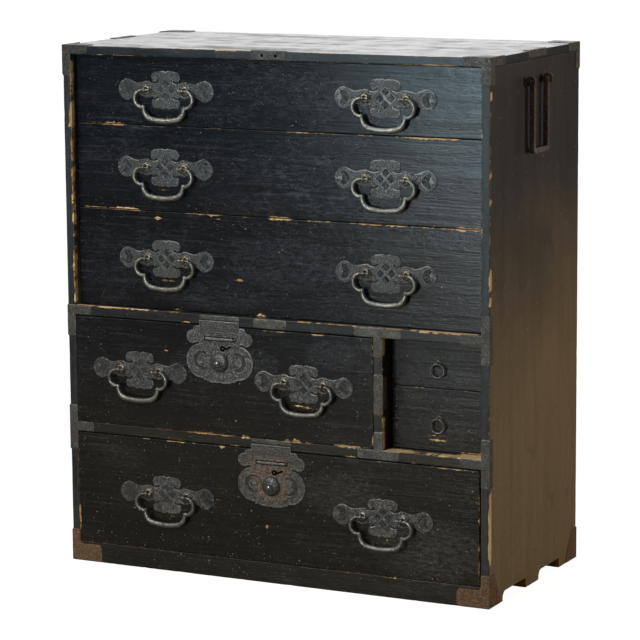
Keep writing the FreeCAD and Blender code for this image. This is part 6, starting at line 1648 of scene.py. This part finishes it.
# straps over the sides' upper edges
for sx, seed in ((-1, 821), (1, 825)):
    ax, at2, ms = (RIGHT_AXES, RIGHT_AT, 1) if sx > 0 else (LEFT_AXES, LEFT_AT, -1)
    sheet(s, flip(rect(-33, 43, 918.0, 931.2, 2.0), ms), at2, ax, *((-33, 43) if ms > 0 else (-43, 33)), 918, 931.2, seed, worn=0.25, rust=0.25, nails=[(ms * -22.0, 923.5), (ms * 32.0, 923.5)], nail_r=1.7)
    sheet(s, (lambda sx: lambda x, z: rect(397.0, 410.2, -33, 43, 2.0)(sx * x, z))(sx), TOP_AT, TOP_AXES, *((397, 410.2) if sx > 0 else (-410.2, -397)), -33, 43, seed + 2, worn=0.45, rust=0.2)
    fold_bar(s, (sx * 409.6, -31, 930.6), (sx * 409.6, 41, 930.6), 0.55, 0.55, 0.2)
s.make("frame_bands", MAT_STRAP, "case", replaces=("frame_straps",), slot="sheet_iron", sharp=50)

s = Soup()
tee = union(rect(158, 247, 451.4, 468.2, 3.6), rect(194.6, 211.4, 416.8, 455.0, 2.6))
sheet(s, tee, FRONT_AT, FRONT_AXES, 158, 247, 416.8, 468.2, 831, worn=0.40, rust=0.10, nails=[(166.5, 460.0), (238.5, 459.5), (203.0, 424.0)], nail_r=1.9)
sheet(s, rect(194.6, 212.7, 317, 388, 2.4), FRONT_AT, FRONT_AXES, 194.6, 212.7, 317, 388, 833, worn=0.42, rust=0.35, nails=[(203.0, 383.0), (203.0, 322.5)], nail_r=2.4)
sheet(s, rect(-198.2, -181.2, 327, 383, 2.4), (211.5, 0, 0), RIGHT_AXES, -198.2, -181.2, 327, 383, 835, worn=0.25, rust=0.8, nails=[(-188.0, 338.0), (-188.0, 372.0)], nail_r=1.8)
tee = union(rect(164, 243, 239.9, 256.7, 3.6), rect(194.6, 211.4, 244.0, 288.3, 2.6))
sheet(s, tee, FRONT_AT, FRONT_AXES, 164, 243, 239.9, 288.3, 837, worn=0.40, rust=0.2, nails=[(171.5, 244.0), (235.5, 248.5), (203.0, 281.0)], nail_r=1.9)
s.make("post_bands", MAT_STRAP, "case", replaces=("divider_straps",), slot="sheet_iron", sharp=50)

s = Soup()
plate = lambda x, z: np.maximum(rect(-34, 33, 914.8, 931.2, 1.6)(x, z), -np.minimum(disc(x, z, -13, 922.3, 2.7), disc(x, z, 13, 922.3, 2.7)))
sheet(s, plate, FRONT_AT, FRONT_AXES, -34, 33, 914.8, 931.2, 841, step=0.9, worn=0.42, rust=0.15, nails=[(-28.5, 926.5), (28.0, 926.5), (-28.5, 918.5), (28.0, 918.5)], nail_r=1.6)
sheet(s, rect(-34, 33, -198.2, -188.0, 2.2), TOP_AT, TOP_AXES, -34, 33, -198.2, -188.0, 843, worn=0.5, rust=0.15)
fold_bar(s, (-32, -197.6, 930.6), (31, -197.6, 930.6), 0.55, 0.6, 0.1)
for lx, rz, seed in ((-102.0, 451.0, 845), (-2.7, 239.5, 847)):
    sheet(s, rect(lx - 39, lx + 39, rz + 8.8, rz + 17.2, 1.4), FRONT_AT, FRONT_AXES, lx - 39, lx + 39, rz + 8.8, rz + 17.2, seed, worn=0.35, rust=0.2, nails=[(lx - 34.0, rz + 13), (lx + 34.0, rz + 13)], nail_r=1.6)
s.make("strike_bands", MAT_STRAP, "case", replaces=("strike_plates",), slot="sheet_iron", sharp=50)
# painted shade: near-black discs in the strike plate's two holes stand for the dark inside them
s = Soup()
for hx in (-13, 13):
    v, f = relief(lambda x, z: disc(x, z, hx, 922.3, 3.0), lambda x, z, d: 0.30 + 0.0 * x, np.arange(hx - 3.85, hx + 3.9, 0.7), np.arange(918.45, 926.2, 0.7), base=0.02)
    s.add(onto(v, FRONT_AT, *FRONT_AXES), f)
s.make("strike_hole_shade", MAT_HOLE_SHADE, "case", slot="sheet_iron")

# ------------------------------------------------------------------ carrying handles

s = Soup()
for sx in (-1, 1):
    for t in (-1, 1):
        y, X = -6.0 + t * 38.5, sx * 418.0
        prof = [(4.35, -2.2), (4.7, -2.9), (6.6, -3.0), (8.3, -2.6), (8.95, -1.2), (8.95, 1.2), (8.3, 2.6), (6.6, 3.0), (4.7, 2.9), (4.35, 2.2)]
        n, m = 30, len(prof)
        a = np.arange(n) / n * 2 * math.pi
        v = np.concatenate([np.column_stack([X + r * np.cos(a), np.full(n, y + q), 880 + r * np.sin(a)]) for r, q in prof])
        f = []
        for i in range(m):
            for j in range(n):
                k = (j + 1) % n
                f.append([i * n + j, i * n + k, ((i + 1) % m) * n + k, ((i + 1) % m) * n + j])
        s.add(v, f, wear=0.40, rust=0.3)
        v, f = tube([(sx * 408.2, y, 880), (sx * 410.5, y, 880), (sx * 413.4, y, 880)], [3.6, 3.4, 3.2], 14, up=(0, 1, 0), caps=False)
        s.add(v, f, wear=0.25, rust=0.4)
        ax, at2, ms = (RIGHT_AXES, RIGHT_AT, 1) if sx > 0 else (LEFT_AXES, LEFT_AT, -1)
        sheet(s, rect(ms * y - 6, ms * y + 6, 874, 886, 1.5), at2, ax, ms * y - 6, ms * y + 6, 874, 886, 861 + t + 3 * sx, worn=0.3, rust=0.4)
s.make("carry_eye_irons", MAT_CARRY, "case", replaces=("carry_eyes",), slot="forged_iron", sharp=60)

for label, node, body, sx in (("left", "carry_handle_left", "carry_left", -1), ("right", "carry_handle_right", "carry_right", 1)):
    s = Soup()
    X = sx * 418.0
    legs = []
    y0, y1 = -36.25, 24.25
    path = []
    for t in np.linspace(0, 1, 26):
        path.append((y0, 880 - 2.0 - t * 114.0))
    for a in np.linspace(180, 270, 9)[1:]:
        path.append((y0 + 6 + 6 * math.cos(math.radians(a)), 767.4 - 1.9 + 6 * math.sin(math.radians(a)) - 0.0))
    for t in np.linspace(0, 1, 14)[1:-1]:
        path.append((y0 + 6 + t * (y1 - y0 - 12), 759.5 + 2.0 - 0.0))
    for a in np.linspace(270, 360, 9):
        path.append((y1 - 6 + 6 * math.cos(math.radians(a)), 767.4 - 1.9 + 6 * math.sin(math.radians(a))))
    for t in np.linspace(0, 1, 26)[1:]:
        path.append((y1, 764.0 + t * 114.0))
    P = np.array([(X, y, max(z, 761.5)) for y, z in path])
    v, f = tube(P, 4.42, 16, up=(1, 0, 0), square=0.86, twist=math.pi / 16 * 0)
    n = fnoise(v + [0, 0, 60.0 * sx], (14.0, 14.0, 14.0), 871, 2)[:, None] - 0.5
    c = v.copy()
    c[:, 0] = X + (v[:, 0] - X) * (0.985 + 0.0 * n[:, 0])
    c = c + n * 0.16
    rub = np.clip(0.30 + 0.9 * (fnoise(v, (16.0, 16.0, 16.0), 873, 3) - 0.5) + 0.25 * smooth(v[:, 2], 790, 762), 0, 1)
    s.add(c, f, wear=rub, rust=0.35)
    for t in (-1, 1):
        yl = -6.0 + t * 30.25
        # knuckle and pin
        kn = [(4.42, -4.3), (4.44, -3.6), (4.44, 3.6), (4.42, 4.3)]
        v, f = tube([(X, yl - 4.4, 880), (X, yl - 3.8, 880), (X, yl, 880), (X, yl + 3.8, 880), (X, yl + 4.4, 880)], [4.1, 4.42, 4.44, 4.42, 4.1], 20, up=(1, 0, 0))
        s.add(v, f, wear=0.35, rust=0.3)
        e = yl + t * 14.2
        v, f = tube([(X, yl, 880), (X, yl + t * 9.0, 880), (X, yl + t * 13.6, 880), (X, e, 880)], [3.85, 3.85, 3.85, 3.3], 20, up=(1, 0, 0))
        s.add(v, f, wear=0.45, rust=0.25)
    s.make("carry_bar_" + label, MAT_CARRY, body, replaces=(node,), slot="forged_iron", sharp=40)

# ------------------------------------------------------------------ ring pulls

for name, zc, seed in (("small_drawer_upper", 397.0, 881), ("small_drawer_lower", 301.5, 883)):
    s = Soup()
    n, m = 56, 14
    a = np.arange(n) / n * 2 * math.pi
    v = []
    for i, q in enumerate(a):
        r = 1.55 + 0.12 * math.sin(2 * q + seed)
        c = np.array([302.0 + 12.0 * math.cos(q), -171.0, zc + 12.0 * math.sin(q)])
        rad = np.array([math.cos(q), 0, math.sin(q)])
        for j in range(m):
            b = 2 * math.pi * j / m
            v.append(c + r * (math.cos(b) * rad + math.sin(b) * np.array([0, 1, 0])))
    f = [[i * m + j, i * m + (j + 1) % m, ((i + 1) % n) * m + (j + 1) % m, ((i + 1) % n) * m + j] for i in range(n) for j in range(m)]
    v = np.array(v)
    q = f[0]
    c0 = np.array([302.0 + 12.0, -171.0, zc])
    if np.dot(np.cross(v[q[1]] - v[q[0]], v[q[2]] - v[q[0]]), v[q[0]] - c0) < 0:
        f = [g[::-1] for g in f]
    s.add(v, f, wear=np.clip(0.5 + 0.8 * (fnoise(v, (7.0, 7.0, 7.0), seed, 2) - 0.5), 0, 1), rust=0.1)
    s.make(name + "_pull_ring", MAT_BAIL, name + "_ring_body", replaces=(name + "_ring",), slot="forged_iron")
    # split stud with a small rose
    s = Soup()
    z = zc + 12.0
    v, f = lathe([(5.6, 0.0), (5.5, 0.5), (4.6, 0.95), (3.4, 1.05), (2.4, 0.9), (0, 0.9)], 20, petals=(8, 0.25, 2.0, 5.8), seed=seed, wobble=0.02)
    s.add(onto(v, (302.0, -164.85, z), *FRONT_AXES), f, wear=0.35, rust=0.2)
    v, f = tube([(302.0, -164.6, z), (302.0, -166.6, z), (302.0, -167.9, z)], [1.75, 1.7, 1.6], 12, up=(0, 0, 1), caps=False)
    s.add(v, f, wear=0.4)
    barrel(s, 302.0, -171.0, z, 2.25, 3.9, 1.5, 0.5)
    s.make(name + "_split_stud", MAT_BAIL, name, replaces=(name + "_stud",), slot="forged_iron", sharp=60)

for name in ("drawer_middle_lock_bolt", "drawer_bottom_lock_bolt"):
    dress(name, MAT_BRIGHT)
# ------------------------------------------------------------------ camera, floor and light

CAM_AZ, CAM_EL, CAM_ROLL, CAM_F = math.radians(26.684), math.radians(9.6148), math.radians(-0.43565), 2906.35
back = Vector((math.sin(CAM_AZ) * math.cos(CAM_EL), -math.cos(CAM_AZ) * math.cos(CAM_EL), math.sin(CAM_EL)))
right = (-back).cross(Vector((0, 0, 1))).normalized()
upward = right.cross(-back)
cr, sr = math.cos(CAM_ROLL), math.sin(CAM_ROLL)
rx, ux = right * cr + upward * sr, upward * cr - right * sr
cam = bpy.data.cameras.new("camera")
cam.sensor_width = 36.0
cam.lens = CAM_F / 640.0 * 36.0
cam.clip_start, cam.clip_end = 0.1, 200.0
cam_ob = bpy.data.objects.new("camera", cam)
bpy.context.scene.collection.objects.link(cam_ob)
cam_ob.matrix_world = Matrix(((rx[0], ux[0], back[0], 2.46445705 * 0.93), (rx[1], ux[1], back[1], -4.91438532 * 0.93 + SHIFT / 1000),
                              (rx[2], ux[2], back[2], 1.40150252 * 0.93), (0, 0, 0, 1)))
bpy.context.scene.camera = cam_ob


def plane(name, half, z, colour, glow, seen):
    me = bpy.data.meshes.new(name)
    me.from_pydata([(-half, -half, z), (half, -half, z), (half, half, z), (-half, half, z)], [], [(0, 1, 2, 3)])
    m = bpy.data.materials.new(name)
    m.use_nodes = True
    b = m.node_tree.nodes["Principled BSDF"]
    b.inputs["Base Color"].default_value = (*colour, 1)
    b.inputs["Roughness"].default_value = 0.9
    b.inputs["Specular IOR Level"].default_value = 0.1
    b.inputs["Emission Color"].default_value = (1, 1, 1, 1)
    b.inputs["Emission Strength"].default_value = glow
    me.materials.append(m)
    ob = bpy.data.objects.new(name, me)
    bpy.context.scene.collection.objects.link(ob)
    ob.visible_camera = seen
    for kind in ("visible_diffuse", "visible_glossy", "visible_transmission", "visible_shadow"):
        setattr(ob, kind, not seen)
    return ob


plane("floor", 60.0, -0.0004, (0.22, 0.22, 0.22), 0.95, True)
plane("floor_light", 60.0, -0.0008, (0.30, 0.265, 0.215), 0.0, False)


def softbox(name, at, look, size, radiance, colour, spread=math.pi):
    l = bpy.data.lights.new(name, "AREA")
    l.shape = "RECTANGLE"
    l.size, l.size_y = size
    l.energy = radiance * math.pi * size[0] * size[1]
    l.color = colour
    l.spread = spread
    ob = bpy.data.objects.new(name, l)
    bpy.context.scene.collection.objects.link(ob)
    ob.location = at
    ob.rotation_mode = "QUATERNION"
    ob.rotation_quaternion = (Vector(look) - Vector(at)).to_track_quat("-Z", "Y")
    ob.visible_camera = False
    return ob


# a tall soft light in front, a broad weak one overhead, one from behind the right side, a weak one from the left
softbox("light_front", (-0.24, -2.10, 1.02), (0.0, -0.2, 0.75), (0.46, 0.95), 11.2, (0.66, 0.89, 1.0))
softbox("light_low", (-0.12, -2.00, 0.32), (0.0, -0.2, 0.50), (0.60, 0.40), 3.0, (1.0, 0.96, 0.88))
softbox("light_key", (-1.70, -2.50, 2.30), (0.0, -0.2, 0.55), (0.60, 0.60), 15.0, (1.0, 0.95, 0.86))
softbox("light_above", (-0.5, -0.9, 3.2), (0.0, 0.0, 0.5), (2.4, 2.0), 1.2, (1.0, 0.98, 0.95))
softbox("light_right", (3.0, 1.3, 1.0), (0.3, 0.0, 0.35), (1.6, 1.6), 2.6, (1.0, 0.90, 0.76))
softbox("light_left", (-3.4, -1.4, 1.9), (-0.2, 0.0, 0.5), (1.4, 1.4), 1.3, (1.0, 0.98, 0.95))

world = bpy.data.worlds.new("studio")
bpy.context.scene.world = world
world.use_nodes = True
wt = world.node_tree
wt.nodes.clear()
wo = wt.nodes.new("ShaderNodeOutputWorld")
bg_seen, bg_lit, mixer, path = (wt.nodes.new(k) for k in (
    "ShaderNodeBackground", "ShaderNodeBackground", "ShaderNodeMixShader", "ShaderNodeLightPath"))
co = wt.nodes.new("ShaderNodeTexCoord")
dot = wt.nodes.new("ShaderNodeVectorMath")
dot.operation = "DOT_PRODUCT"
dot.inputs[1].default_value = (-0.26, 0.945, 0.19)
wt.links.new(co.outputs["Generated"], dot.inputs[0])
ramp = wt.nodes.new("ShaderNodeMapRange")
ramp.interpolation_type = "SMOOTHSTEP"
ramp.inputs["From Min"].default_value, ramp.inputs["From Max"].default_value = 0.86, 0.985
ramp.inputs["To Min"].default_value, ramp.inputs["To Max"].default_value = 0.15, 2.85
wt.links.new(dot.outputs["Value"], ramp.inputs["Value"])
wt.links.new(ramp.outputs[0], bg_lit.inputs["Strength"])
bg_lit.inputs["Color"].default_value = (1.0, 1.0, 1.0, 1)
bg_seen.inputs["Color"].default_value = (1, 1, 1, 1)
bg_seen.inputs["Strength"].default_value = 1.0
wt.links.new(path.outputs["Is Camera Ray"], mixer.inputs[0])
wt.links.new(bg_lit.outputs[0], mixer.inputs[1])
wt.links.new(bg_seen.outputs[0], mixer.inputs[2])
wt.links.new(mixer.outputs[0], wo.inputs[0])

view = bpy.context.scene.view_settings
view.view_transform = "Standard"
view.look = "None"
view.exposure, view.gamma = 0.0, 1.0
